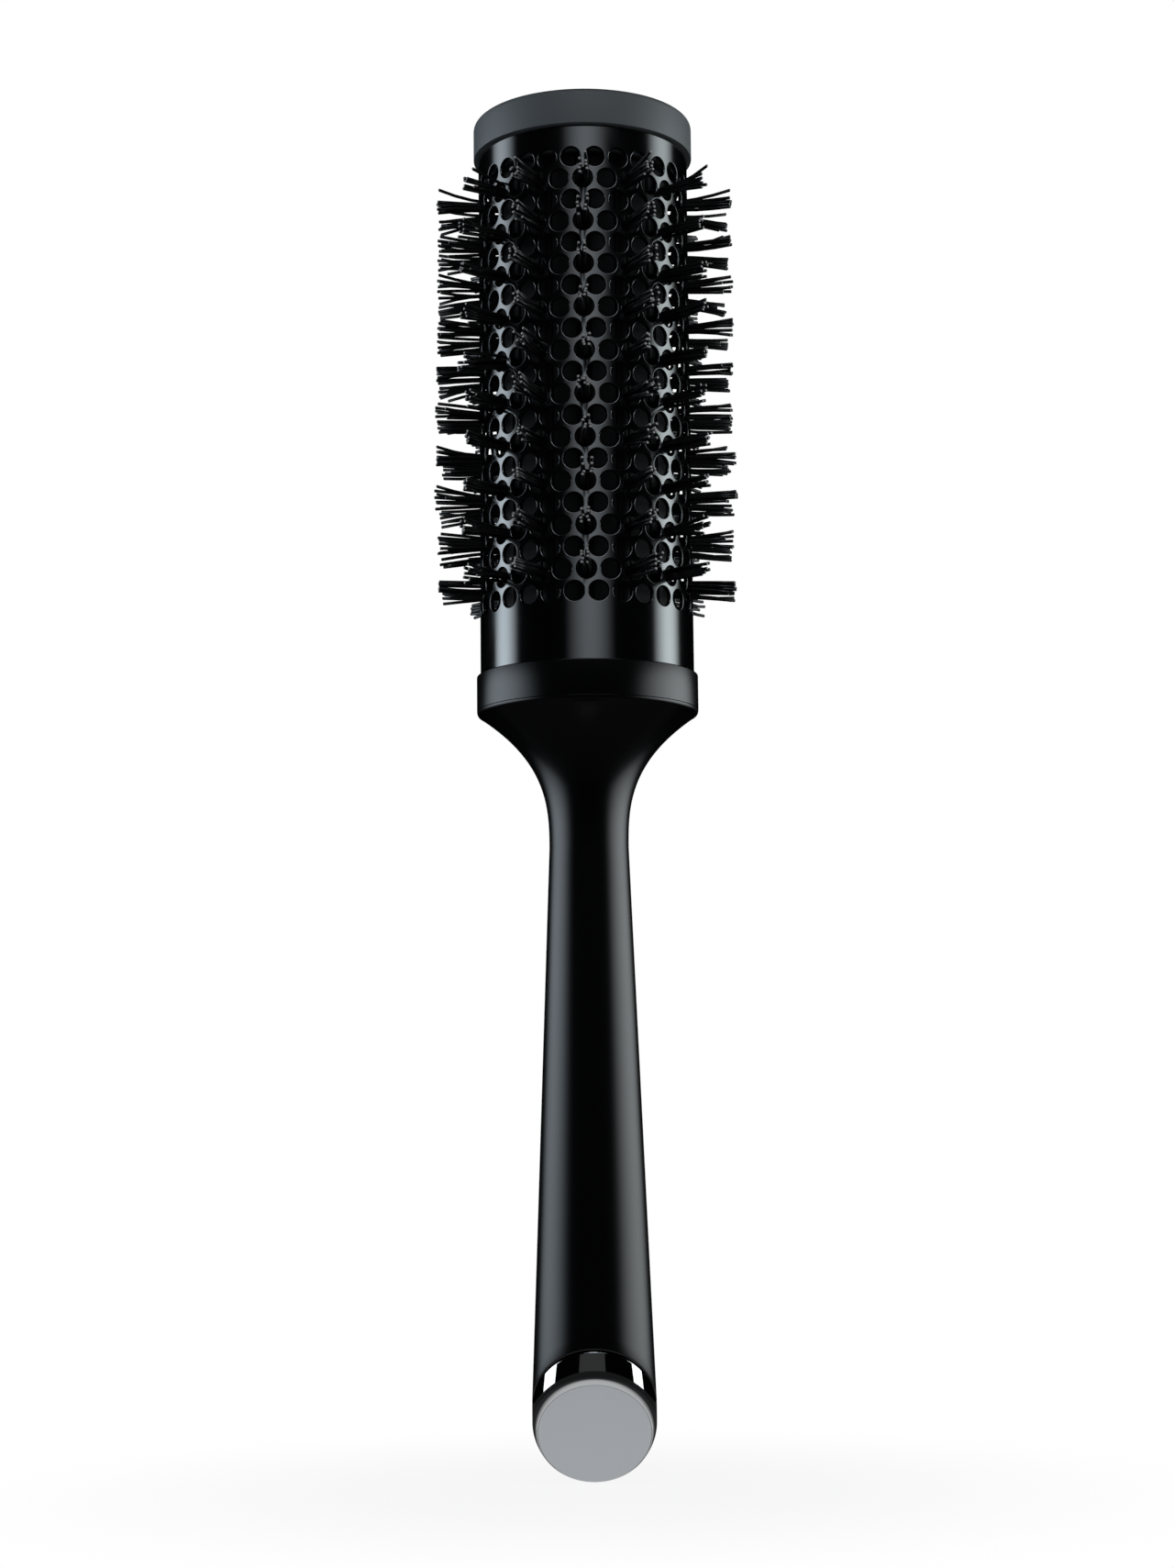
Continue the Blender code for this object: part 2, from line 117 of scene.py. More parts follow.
NECK_R = 0.0083
FLARE_HEIGHT = 0.0285
FLARE_POWER = 2.8             # how late the flare opens
FLARE_LIP = 0.0004            # straight edge on top of the flare
LIP_EDGE = 0.0008             # fillet under that edge
JOINT = 0.00005               # the fine joint between the flare and the collar
GRIP_WALL = 0.0018

END_SLANT = math.radians(42.5)
END_RIM_R = 0.0118
END_RIM_WALL = 0.00012
GRIP_END_R = 0.0127
BAND_HEIGHT = 0.0059          # along the brush
BAND_EDGE_R = 0.0016          # rounding of the band's lower edge
BAND_EDGE_TURN = math.radians(40)
BAND_SPIGOT_LENGTH = 0.0140
PLATE_THICKNESS = 0.0012
SLANT_BLEND = 0.0320          # stretch of the handle in which square sections turn slanted
SLANT_EASE = 0.35             # how much more gently than a straight ramp that starts and ends

END_PLANE = END_RIM_R * math.tan(END_SLANT)
BAND_TOP = END_PLANE + BAND_HEIGHT
GRIP_CUT = BAND_TOP + CLEARANCE
SLANT_TOP = GRIP_CUT + SLANT_BLEND
FLARE_TOP = GRIP_TOP - FLARE_LIP
FLARE_BOTTOM = GRIP_TOP - FLARE_HEIGHT
VENTS_BOTTOM = COLLAR_TOP + VENT_FIRST
print("barrel", round(BARREL_R * 2000, 2), "mm across, lowest vents at", round(VENTS_BOTTOM * 1000, 2), "mm")

# %% [markdown]
# ## Helpers for meshes
#
# Every new piece is worked out as a whole array of points with numpy, and its faces as an array of
# corner numbers. Three helpers do what all pieces share: one welds points that fall on each other, one
# lists the faces of a grid that closes into a tube, and one puts the result into the scene, with its
# faces turned outwards and its object at the origin.

# %% Welding and the faces of a tube
WELD = 1e-6


def welded(points, quads, *carried):
    """Join points that round to the same multiple of WELD.

    A quad with two corners on one point becomes a triangle. Returns the points, the blocks of faces,
    and the rows of each carried array that belong to the points kept.
    """
    keys = np.round(points / WELD).astype(np.int64)
    _, first, place = np.unique(keys, axis=0, return_index=True, return_inverse=True)
    quads = place.ravel()[quads]
    folded = quads == np.roll(quads, -1, axis=1)
    count = folded.sum(axis=1)
    triangles = quads[count == 1][~folded[count == 1]].reshape(-1, 3)
    return (points[first], [quads[count == 0], triangles], *(array[first] for array in carried))


def tube_quads(rings, steps, closed=False):
    """Quads between neighbouring rings of a grid with so many points a ring.

    The last step joins the first. With closed, the last ring joins the first as well.
    """
    ring = np.arange(rings if closed else rings - 1)[:, None]
    step = np.arange(steps)[None, :]
    here = ring * steps + step
    beside = ring * steps + (step + 1) % steps
    below = (ring + 1) % rings * steps + step
    across = (ring + 1) % rings * steps + (step + 1) % steps
    return np.stack([here, beside, across, below], axis=-1).reshape(-1, 4)


# %% A new piece
def signed_volume(points, blocks):
    """Volume inside closed faces: for each triangle of a fan, a sixth of a . (b x c)."""
    total = 0.0
    for block in blocks:
        for k in range(1, block.shape[1] - 1):
            a, b, c = points[block[:, 0]], points[block[:, k]], points[block[:, k + 1]]
            total += np.einsum("ij,ij->", a, np.cross(b, c)) / 6
    return total


def new_piece(name, points, blocks, finish, stands_for=(), sharp=35, normals=None):
    """Put closed faces into the scene as a piece of the brush that stands for some CAD nodes.

    Faces turn outwards, which is where the volume inside them comes out above zero. Edges sharper than
    sharp degrees stay crisp, unless normals gives the direction of shading at every point.
    """
    volume = signed_volume(points, blocks)
    if volume < 0:
        blocks = [block[:, ::-1] for block in blocks]
    mesh = bpy.data.meshes.new(name)
    mesh.from_pydata(points.tolist(), [], [face for block in blocks for face in block.tolist()])
    mesh.materials.append(finish)
    mesh.shade_smooth()
    if normals is None:
        mesh.set_sharp_from_angle(angle=math.radians(sharp))
    else:
        mesh.normals_split_custom_set_from_vertices(normals.tolist())
    piece = bpy.data.objects.new(name, mesh)
    bpy.context.scene.collection.objects.link(piece)
    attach(piece, "root")
    if stands_for:
        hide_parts(*stands_for)
    print(f"{name}: {len(points)} points, {len(mesh.polygons)} faces, {abs(volume) * 1e9:.0f} mm3")
    return piece


# %% [markdown]
# ## Helpers for turned pieces
#
# The cap, the collar, the handle and its end are all round, as if they came off a lathe. A profile of
# corner points is drawn once, its corners are rounded by arcs, and the profile is carried round the axis.
# Moulded and pressed pieces never have perfectly sharp corners, and a corner of a tenth of a millimetre
# is enough to catch a line of light.

# %% Rounded corners and turning
ARC_STEPS = 6


def filleted(corners, closed=True):
    """A profile with rounded corners, from (radius, height, fillet) rows.

    At a corner p between unit directions a and b, with the angle w between them, the arc's centre is
    p + (a + b) / |a + b| * fillet / sin(w / 2). It touches both sides at fillet / tan(w / 2) from p, and
    the points between are a slerp round the centre.
    """
    corners = np.asarray(corners, float)
    places = corners[:, :2]
    share = np.linspace(0, 1, ARC_STEPS + 1)[:, None]
    profile = []
    for i, (place, fillet) in enumerate(zip(places, corners[:, 2])):
        inner = closed or 0 < i < len(corners) - 1
        if fillet == 0 or not inner:
            profile.append(place[None])
            continue
        a = places[i - 1] - place
        b = places[(i + 1) % len(places)] - place
        a /= np.linalg.norm(a)
        b /= np.linalg.norm(b)
        half = math.acos(np.clip(a @ b, -1, 1)) / 2
        centre = place + (a + b) / np.linalg.norm(a + b) * fillet / math.sin(half)
        start = place + a * fillet / math.tan(half) - centre
        stop = place + b * fillet / math.tan(half) - centre
        turn = math.pi - 2 * half
        arc = (np.sin((1 - share) * turn) * start + np.sin(share * turn) * stop) / math.sin(turn)
        profile.append(centre + arc)
    return np.concatenate(profile)


def turned(profile, steps, closed=True):
    """A profile carried round the Z axis: (r sin t, -r cos t, z) for every profile point and angle t.

    The profile has rows (radius, height). Each of the two may also be an array with a value for every
    angle, in a (point, 2, angle) array, for a section that changes on its way round.
    """
    angle = 2 * np.pi * np.arange(steps) / steps
    if profile.ndim == 2:
        profile = np.repeat(profile[:, :, None], steps, axis=2)
    radius, height = profile[:, 0], profile[:, 1]
    points = np.stack([radius * np.sin(angle), -radius * np.cos(angle), height], axis=-1)
    return points.reshape(-1, 3), tube_quads(len(profile), steps, closed)


def leaned(points, weight):
    """Lean level sections towards the slanted end plane: z goes down by y * tan(slant) * weight."""
    points = points.copy()
    points[:, 2] -= points[:, 1] * math.tan(END_SLANT) * weight
    return points


# %% [markdown]
# ## Helpers for materials
#
# Finishes here differ in only a few ways: how fine their grain is, how much their gloss wavers, and
# whether tool marks run through them. Each such effect is a shader node group, built once and placed in
# every material that needs it with its own values. The groups put out a roughness and a height, and the
# Principled shader itself stays in each material.

# %% Placing nodes and groups
def new_group(name, inputs, outputs):
    """An empty shader node group with named value sockets, and its input and output nodes."""
    group = bpy.data.node_groups.new(name, "ShaderNodeTree")
    for title, kind, value in inputs:
        socket = group.interface.new_socket(name=title, in_out="INPUT", socket_type=kind)
        if value is not None:
            socket.default_value = value
    for title in outputs:
        group.interface.new_socket(name=title, in_out="OUTPUT", socket_type="NodeSocketFloat")
    return group, group.nodes.new("NodeGroupInput"), group.nodes.new("NodeGroupOutput")


def node(tree, kind, settings=(), **values):
    """A node with its settings and with values for its unlinked inputs, both by name."""
    made = tree.nodes.new(kind)
    for setting, value in dict(settings).items():
        setattr(made, setting, value)
    for title, value in values.items():
        made.inputs[title.replace("_", " ")].default_value = value
    return made


def spread(tree, value, low, high):
    """A Map Range node from 0..1 to low..high. low and high are numbers or sockets."""
    made = node(tree, "ShaderNodeMapRange")
    tree.links.new(value, made.inputs["Value"])
    for title, end in (("To Min", low), ("To Max", high)):
        if isinstance(end, (int, float)):
            made.inputs[title].default_value = end
        else:
            tree.links.new(end, made.inputs[title])
    return made.outputs["Result"]


# %% [markdown]
# ### Moulded grain
#
# Moulded plastic takes over the spark-eroded grain of its mould: tiny pits with no direction. Two layers
# of noise give it: a fine one for the pits, which also goes out as a height, and a broad one that lets
# the gloss waver slowly over a hand's width, as on every real moulding.

# %% The moulded grain group
def build_moulded_grain():
    """Roughness wavers between two values: 65 % of fine noise and 35 % of broad noise."""
    group, entry, leave = new_group("moulded_grain", [
        ("Vector", "NodeSocketVector", None),
        ("Grains per Metre", "NodeSocketFloat", 5000.0),
        ("Smoothest", "NodeSocketFloat", 0.4),
        ("Roughest", "NodeSocketFloat", 0.5),
    ], ["Roughness", "Height"])
    fine = node(group, "ShaderNodeTexNoise", Detail=2.0, Roughness=0.6)
    group.links.new(entry.outputs["Vector"], fine.inputs["Vector"])
    group.links.new(entry.outputs["Grains per Metre"], fine.inputs["Scale"])
    broad = node(group, "ShaderNodeTexNoise", Scale=60.0, Detail=3.0, Roughness=0.5)
    group.links.new(entry.outputs["Vector"], broad.inputs["Vector"])
    blend = node(group, "ShaderNodeMix", Factor=0.35)
    group.links.new(fine.outputs["Fac"], blend.inputs["A"])
    group.links.new(broad.outputs["Fac"], blend.inputs["B"])
    rough = spread(group, blend.outputs["Result"], entry.outputs["Smoothest"], entry.outputs["Roughest"])
    group.links.new(rough, leave.inputs["Roughness"])
    group.links.new(fine.outputs["Fac"], leave.inputs["Height"])
    return group


moulded_grain = build_moulded_grain()

# %% [markdown]
# ### Handling haze
#
# Gloss and metal show that they were handled: faint patches where fingers dulled them, and a few specks
# of dust. The patches are noise that is bent by another noise, and pushed through a steep range so that
# most of the surface stays clean. The specks are the middles of scattered cells.

# %% The handling haze group
def build_handling_haze():
    """Roughness is Clean outside the patches and rises towards Dull inside them and on specks."""
    group, entry, leave = new_group("handling_haze", [
        ("Vector", "NodeSocketVector", None),
        ("Patches per Metre", "NodeSocketFloat", 40.0),
        ("Clean", "NodeSocketFloat", 0.1),
        ("Dull", "NodeSocketFloat", 0.2),
    ], ["Roughness", "Haze"])
    patches = node(group, "ShaderNodeTexNoise", Detail=4.0, Roughness=0.55, Distortion=0.6)
    group.links.new(entry.outputs["Vector"], patches.inputs["Vector"])
    group.links.new(entry.outputs["Patches per Metre"], patches.inputs["Scale"])
    steep = node(group, "ShaderNodeMapRange", {"interpolation_type": "SMOOTHSTEP"},
                 From_Min=0.5, From_Max=0.72)
    group.links.new(patches.outputs["Fac"], steep.inputs["Value"])
    cells = node(group, "ShaderNodeTexVoronoi", Scale=900.0)
    group.links.new(entry.outputs["Vector"], cells.inputs["Vector"])
    specks = node(group, "ShaderNodeMapRange", From_Min=0.06, From_Max=0.1, To_Min=0.5, To_Max=0.0)
    group.links.new(cells.outputs["Distance"], specks.inputs["Value"])
    haze = node(group, "ShaderNodeMath", {"operation": "MAXIMUM"})
    group.links.new(steep.outputs["Result"], haze.inputs[0])
    group.links.new(specks.outputs["Result"], haze.inputs[1])
    rough = spread(group, haze.outputs[0], entry.outputs["Clean"], entry.outputs["Dull"])
    group.links.new(rough, leave.inputs["Roughness"])
    group.links.new(haze.outputs[0], leave.inputs["Haze"])
    return group


handling_haze = build_handling_haze()

# %% [markdown]
# ### Tool marks
#
# Turned, drawn or brushed metal has fine lines in one direction. Noise that is squeezed in one direction
# and stretched in the other two makes such lines, and the lines go out as a height and as a roughness.

# %% The tool marks group
def build_tool_marks():
    """Lines across the X direction of the vector that comes in."""
    group, entry, leave = new_group("tool_marks", [
        ("Vector", "NodeSocketVector", None),
        ("Lines per Metre", "NodeSocketFloat", 8000.0),
        ("Smoothest", "NodeSocketFloat", 0.25),
        ("Roughest", "NodeSocketFloat", 0.4),
    ], ["Roughness", "Height"])
    squeeze = node(group, "ShaderNodeVectorMath", {"operation": "MULTIPLY"})
    squeeze.inputs[1].default_value = (1.0, 0.02, 0.02)
    group.links.new(entry.outputs["Vector"], squeeze.inputs[0])
    lines = node(group, "ShaderNodeTexNoise", Detail=3.0, Roughness=0.7)
    group.links.new(squeeze.outputs[0], lines.inputs["Vector"])
    group.links.new(entry.outputs["Lines per Metre"], lines.inputs["Scale"])
    rough = spread(group, lines.outputs["Fac"], entry.outputs["Smoothest"], entry.outputs["Roughest"])
    group.links.new(rough, leave.inputs["Roughness"])
    group.links.new(lines.outputs["Fac"], leave.inputs["Height"])
    return group


tool_marks = build_tool_marks()

# %% A finish with one of these groups
def new_finish(name, colour, effect, values, bump=0.0, turn=(0, 0, 0), **shader_values):
    """A Principled material whose roughness and bump come from a group on Object coordinates.

    bump is the depth of the group's height in metres, turn is how the pattern is turned, in degrees.
    """
    finish = bpy.data.materials.new(name)
    finish.use_nodes = True
    tree = finish.node_tree
    shader = tree.nodes["Principled BSDF"]
    shader.inputs["Base Color"].default_value = (*colour, 1.0)
    for title, value in shader_values.items():
        shader.inputs[title.replace("_", " ")].default_value = value
    place = node(tree, "ShaderNodeTexCoord")
    mapping = node(tree, "ShaderNodeMapping", Rotation=[math.radians(angle) for angle in turn])
    tree.links.new(place.outputs["Object"], mapping.inputs["Vector"])
    group = node(tree, "ShaderNodeGroup", {"node_tree": effect})
    tree.links.new(mapping.outputs["Vector"], group.inputs["Vector"])
    for title, value in values.items():
        group.inputs[title].default_value = value
    tree.links.new(group.outputs["Roughness"], shader.inputs["Roughness"])
    if bump:
        relief = node(tree, "ShaderNodeBump", Strength=1.0, Distance=bump)
        tree.links.new(group.outputs["Height"], relief.inputs["Height"])
        tree.links.new(relief.outputs["Normal"], shader.inputs["Normal"])
    return finish


# %% [markdown]
# ## The barrel
#
# The barrel is a drawn aluminium tube with a dark ceramic coating, punched with 21 rows of 28 round
# vents. Every other row is shifted by half a column, so each vent has six neighbours.
#
# Cutting 588 holes with Booleans would give long thin faces, and a glossy tube shows each of them. So the
# wall is laid out like a honeycomb instead: each vent stands in a six-sided cell that meets its
# neighbours edge to edge. A cell is a few rings of 24 points: its outline, three rings of the rolled-in
# rim, the bore's inner edge, and the outline again on the inner side of the wall.

# %% Finish of the barrel
barrel_coating = new_finish(
    "barrel_coating", (0.0013, 0.0014, 0.0016), handling_haze,
    {"Patches per Metre": 45.0, "Clean": 0.13, "Dull": 0.18}, IOR=1.85)

# %% One cell of the honeycomb
EDGE_STEPS = 4                # points on each of the six sides of a cell
RIM_ROLL = 0.00026            # radius of the rolled-in rim of a vent
VENT_STEPS = 6 * EDGE_STEPS


def cell_outline():
    """Offsets (round the barrel, along it) of a cell's outline.

    With neighbours at (2a, 0) and (a, 2b), the sides lie halfway between vents, which puts corners at
    (0, (4bb + aa) / 4b) and (a, (4bb - aa) / 4b) and their mirror images.
    """
    a = math.pi * BARREL_R / VENT_COLUMNS
    b = VENT_PITCH / 2
    top = (4 * b * b + a * a) / (4 * b)
    side = (4 * b * b - a * a) / (4 * b)
    corners = np.array([(0, top), (a, side), (a, -side), (0, -top), (-a, -side), (-a, side)])
    share = np.arange(EDGE_STEPS)[None, :, None] / EDGE_STEPS
    ahead = np.roll(corners, -1, axis=0)
    return (corners[:, None] * (1 - share) + ahead[:, None] * share).reshape(-1, 2)


def on_barrel(offsets, depth, angle, level):
    """Points of the barrel: offsets round and along it, at a depth under its surface."""
    turn = offsets[..., 0] / BARREL_R + angle
    radius = BARREL_R - depth
    return np.stack([radius * np.sin(turn), -radius * np.cos(turn), offsets[..., 1] + level], axis=-1)


# %% All cells
def vent_places():
    """Angle and level of every vent. Even rows are shifted by half a column."""
    row, column = np.mgrid[0:VENT_ROWS, 0:VENT_COLUMNS]
    angle = 2 * np.pi * (column + 0.5 * (row % 2 == 0)) / VENT_COLUMNS
    return angle.ravel(), (VENTS_BOTTOM + row * VENT_PITCH).ravel()


def vent_cells():
    """Points, quads and shading directions of all cells: (vents, rings, steps, 3) arrays."""
    outline = cell_outline()
    unit = outline / np.linalg.norm(outline, axis=1, keepdims=True)
    roll = RIM_ROLL * (1 - math.sqrt(0.5))
    rings = np.stack([outline, unit * (VENT_R + RIM_ROLL), unit * (VENT_R + roll), unit * VENT_R,
                      unit * VENT_R, outline])
    depths = np.array([0, 0, roll, RIM_ROLL, BARREL_WALL, BARREL_WALL])
    angle, level = (array[:, None, None] for array in vent_places())
    points = on_barrel(rings[None], depths[None, :, None], angle, level)
    turn = rings[None, ..., 0] / BARREL_R + angle
    out = np.stack([np.sin(turn), -np.cos(turn), np.zeros_like(turn)], axis=-1)
    across = np.stack([np.cos(turn), np.sin(turn), np.zeros_like(turn)], axis=-1)
    along = np.array([0.0, 0.0, 1.0])
    inwards = -(across * unit[None, None, :, :1] + along * unit[None, None, :, 1:])
    halfway = (out + inwards) * math.sqrt(0.5)
    normals = np.concatenate([out[:, :2], halfway[:, 2:3], inwards[:, 3:5], -out[:, 5:]], axis=1)
    cell = tube_quads(len(rings), VENT_STEPS)
    first = np.arange(len(points))[:, None, None] * len(rings) * VENT_STEPS
    return points.reshape(-1, 3), (cell[None] + first).reshape(-1, 4)[:, ::-1], normals.reshape(-1, 3)


# %% The plain bands above and below the vents
BARREL_EDGE = 0.00015         # fillet at the ends of the barrel


def plain_band(level, end, upwards):
    """The wall from the zigzag edge of the outermost cells, round the barrel's end, and back inside.

    The zigzag runs between a cell's upper corner and its side corner, as a triangle wave of the angle.
    """
    outline = cell_outline()
    top, side = outline[0, 1], outline[EDGE_STEPS, 1]
    steps = 2 * EDGE_STEPS * VENT_COLUMNS
    angle = 2 * np.pi * np.arange(steps) / steps
    wave = np.abs((np.arange(steps) / (2 * EDGE_STEPS)) % 1 - 0.5) * 2
    zigzag = level + upwards * (top + (side - top) * wave)
    ends = end - upwards * BARREL_EDGE
    plain = level + upwards * (top + (top - side) / 2)
    rows = [(0, zigzag), (0, plain), (0, ends), (BARREL_EDGE, end), (BARREL_WALL - BARREL_EDGE, end),
            (BARREL_WALL, ends), (BARREL_WALL, plain), (BARREL_WALL, zigzag)]
    points = np.stack([
        np.stack([(BARREL_R - depth) * np.sin(angle), -(BARREL_R - depth) * np.cos(angle),
                  np.broadcast_to(height, steps)], axis=-1)
        for depth, height in rows])
    out = np.stack([np.sin(angle), -np.cos(angle), np.zeros(steps)], axis=-1)
    end_on = np.array([0.0, 0.0, upwards])
    normals = np.stack([out] * 3 + [np.broadcast_to(end_on, out.shape)] * 2 + [-out] * 3)
    quads = tube_quads(len(rows), steps)
    return points.reshape(-1, 3), quads[:, ::upwards], normals.reshape(-1, 3)


# %% The whole barrel
def make_barrel():
    """Weld the cells and the two plain bands into one closed wall."""
    last = VENTS_BOTTOM + (VENT_ROWS - 1) * VENT_PITCH
    parts = [vent_cells(), plain_band(last, BARREL_TOP, 1), plain_band(VENTS_BOTTOM, BARREL_BOTTOM, -1)]
    starts = np.cumsum([0] + [len(points) for points, _, _ in parts[:-1]])
    points = np.concatenate([points for points, _, _ in parts])
    quads = np.concatenate([quads + start for (_, quads, _), start in zip(parts, starts)])
    normals = np.concatenate([normals for _, _, normals in parts])
    points, blocks, normals = welded(points, quads, normals)
    new_piece("barrel_tube", points, blocks, barrel_coating, ["barrel"], normals=normals)


make_barrel()

# %% [markdown]
# ## The bristles
#
# Fourteen strips sit in grooves of a carrier inside the barrel. Each strip has ten tufts, and each tuft is
# a flat bundle of eight nylon filaments, two thirds of a millimetre thick and cut off square. They
# are doubled over in their strip, so they come out of it in a row, pass the vent close together and fan
# out beyond it, some tufts hardly and some a lot.
#
# A hair system would do, but filaments with a known place and a flat-cut end are simple to work out: each
# one is a centre line of a few stations, with a ring of six points at each. The last ring is smaller,
# which gives the cut end a chamfer that catches the light. Two attributes carry painted light: the cut
# ends get a paler colour, partly the greyer tone of a cut face and partly a painted highlight that shows
# the lit tips as light dots, and the strip's bar has its gloss turned down, as painted shade for the shade
# it lies in inside the barrel.

# %% Finish of the bristles
bristle_nylon = new_finish(
    "bristle_nylon", (0.003, 0.003, 0.0033), moulded_grain,
    {"Grains per Metre": 3000.0, "Smoothest": 0.28, "Roughest": 0.44}, Specular_IOR_Level=0.36)


def mixed_by(finish, attribute, title, other):
    """Let an attribute of the mesh, from 0 to 1, mix an input of a finish with another value."""
    tree = finish.node_tree
    socket = tree.nodes["Principled BSDF"].inputs[title]
    coloured = socket.type == "RGBA"
    mark = node(tree, "ShaderNodeAttribute", {"attribute_name": attribute})
    mix = node(tree, "ShaderNodeMix", {"data_type": "RGBA" if coloured else "FLOAT"})
    # A Mix node has sockets for every type of value: these are the places of A, B and the result.
    plain, marked, mixed = (6, 7, 2) if coloured else (2, 3, 0)
    mix.inputs[plain].default_value = socket.default_value
    mix.inputs[marked].default_value = other
    tree.links.new(mark.outputs["Fac"], mix.inputs["Factor"])
    tree.links.new(mix.outputs[mixed], socket)


# The cut ends' paler colour is partly the greyer tone of a cut face and partly a painted highlight for the
# lit tips.
mixed_by(bristle_nylon, "cut_end_tone_and_glint", "Base Color", (0.26, 0.255, 0.25, 1.0))
# The bar's gloss is turned down: painted shade, for the shade it lies in inside the barrel.
mixed_by(bristle_nylon, "bar", "Specular IOR Level", 0.03)

# %% Sizes of the bristles
FILAMENT_R = 0.00034
FILAMENT_SIDES = 6
FILAMENT_STATIONS = 6         # the last one is the chamfered end
FILAMENT_CHAMFER = 0.00012
TUFT_FILAMENTS = 8
TUFT_TIP_R = 0.0328           # distance of the longest tips from the axis
TUFT_ROOT = (0.0003, 0.0009)  # half the size of a tuft at its root, round and along the brush
TUFT_TIP = (0.0009, 0.0023)   # the same at the tips of a tuft that fans out fully
TUFT_LEAN = (0.0005, 0.0005)  # how far whole tufts lean
FILAMENT_JITTER = 0.00016
FILAMENT_BOW = 0.0003
FILAMENT_BEND = 1.5           # how late a filament leaves its tuft
FILAMENT_REACH = 0.0036       # a tip is no further off its tuft's middle, so it clears the vent
TUFT_FAN = (0.45, 1.0)        # how much of the full fan a tuft has
TUFT_SHORTER = 0.0011         # whole tufts fall short by up to this much
FILAMENT_SHORTER = 0.0005     # and single filaments by this much more
STUNTED_SHARE = 0.12          # some filaments end clearly early
STUNTED_BY = 0.0018
STRAY_RISE = 0.0018           # the topmost filament of a strip strays upwards
STRAY_BEND = 2.2
STRIP_WIDTH = 0.0026
STRIP_THICKNESS = 0.0015
STRIP_CHAMFER = 0.0002
FIRST_SEED = 400              # each strip draws random numbers of its own

# %% Filaments of one strip
def tuft_levels():
    """Levels of the tufts: one at each row of vents that is not shifted."""
    return VENTS_BOTTOM + VENT_PITCH * np.arange(1, VENT_ROWS, 2)


def filament_lines(draw):
    """Centre lines (filament, station, xyz) with x outwards, y round and z along the brush.

    The filaments of a tuft stand in a zigzag row: the k-th of n lies at (2k + 1) / n - 1 along the row
    and on alternate sides of it. From root to tip an offset grows as share ** bend, and a half sine
    bows it.
    """
    levels = tuft_levels()
    tufts = len(levels)
    k = np.arange(TUFT_FILAMENTS)
    row = np.stack([np.where(k % 2, 1.0, -1.0), (2 * k + 1) / TUFT_FILAMENTS - 1], axis=-1)
    fan = draw.uniform(*TUFT_FAN, (tufts, 1, 1))
    lean = draw.normal(0, TUFT_LEAN, (tufts, 1, 2))
    tip = row * TUFT_TIP * fan + lean + draw.normal(0, FILAMENT_JITTER, (tufts, TUFT_FILAMENTS, 2))
    far = np.linalg.norm(tip, axis=-1, keepdims=True)
    tip *= np.minimum(1, FILAMENT_REACH / far)
    bend = np.full(tip.shape[:2], FILAMENT_BEND)
    tip[-1, -1, 1] += STRAY_RISE
    bend[-1, -1] = STRAY_BEND
    root = row * TUFT_ROOT
    share = np.linspace(0, 1, FILAMENT_STATIONS - 1)
    grown = share ** bend[..., None]
    bow = draw.normal(0, FILAMENT_BOW, tip.shape)
    offset = (root[:, None] + (tip - root)[:, :, None] * grown[..., None]
              + bow[:, :, None] * np.sin(np.pi * share)[:, None])
    short = draw.uniform(0, TUFT_SHORTER, (tufts, 1))
    short = short + draw.uniform(0, FILAMENT_SHORTER, (tufts, TUFT_FILAMENTS))
    short += np.where(draw.random(short.shape) < STUNTED_SHARE, STUNTED_BY, 0)
    start = CORE_R - STRIP_THICKNESS / 2
    length = TUFT_TIP_R - FILAMENT_CHAMFER - short - start
    out = start + length[..., None] * share
    lines = np.stack([out, offset[..., 0], offset[..., 1] + levels[:, None, None]], axis=-1)
    end = lines[:, :, -1:] + [FILAMENT_CHAMFER, 0, 0]
    return np.concatenate([lines, end], axis=2).reshape(-1, FILAMENT_STATIONS, 3)


def filament_mesh(lines):
    """Rings of points round the centre lines, quads between them, and a flat face on each cut end.

    Also gives the mark of cut ends at every point: 1 on the last, smaller ring.
    """
    angle = 2 * np.pi * np.arange(FILAMENT_SIDES) / FILAMENT_SIDES
    circle = np.stack([np.zeros_like(angle), np.cos(angle), np.sin(angle)], axis=-1)
    radius = np.full(FILAMENT_STATIONS, FILAMENT_R)
    radius[-1] -= FILAMENT_CHAMFER
    points = lines[:, :, None] + circle * radius[:, None, None]
    cut = np.zeros(points.shape[:3])
    cut[:, -1] = 1
    size = FILAMENT_STATIONS * FILAMENT_SIDES
    first = np.arange(len(lines))[:, None]
    sides = (tube_quads(FILAMENT_STATIONS, FILAMENT_SIDES)[None] + first[..., None] * size).reshape(-1, 4)
    corner = np.arange(FILAMENT_SIDES)
    root_end = first * size + corner[::-1]
    tip_end = first * size + size - FILAMENT_SIDES + corner
    return points.reshape(-1, 3), [sides, root_end, tip_end], cut.ravel()


# %% The strip under the filaments
def strip_mesh():
    """A slim bar with chamfered edges: an eight-sided outline carried along the groove."""
    outer, inner = CORE_R, CORE_R - STRIP_THICKNESS
    half, edge = STRIP_WIDTH / 2, STRIP_CHAMFER
    outline = np.array([
        (outer, -half + edge), (outer, half - edge), (outer - edge, half), (inner + edge, half),
        (inner, half - edge), (inner, -half + edge), (inner + edge, -half), (outer - edge, -half)])
    ends = [np.column_stack([outline, np.full(len(outline), level)]) for level in (CORE_BOTTOM, CORE_TOP)]
    corner = np.arange(len(outline))
    sides = tube_quads(2, len(outline))
    return np.concatenate(ends), [sides, corner[None, ::-1], corner[None] + len(outline)]


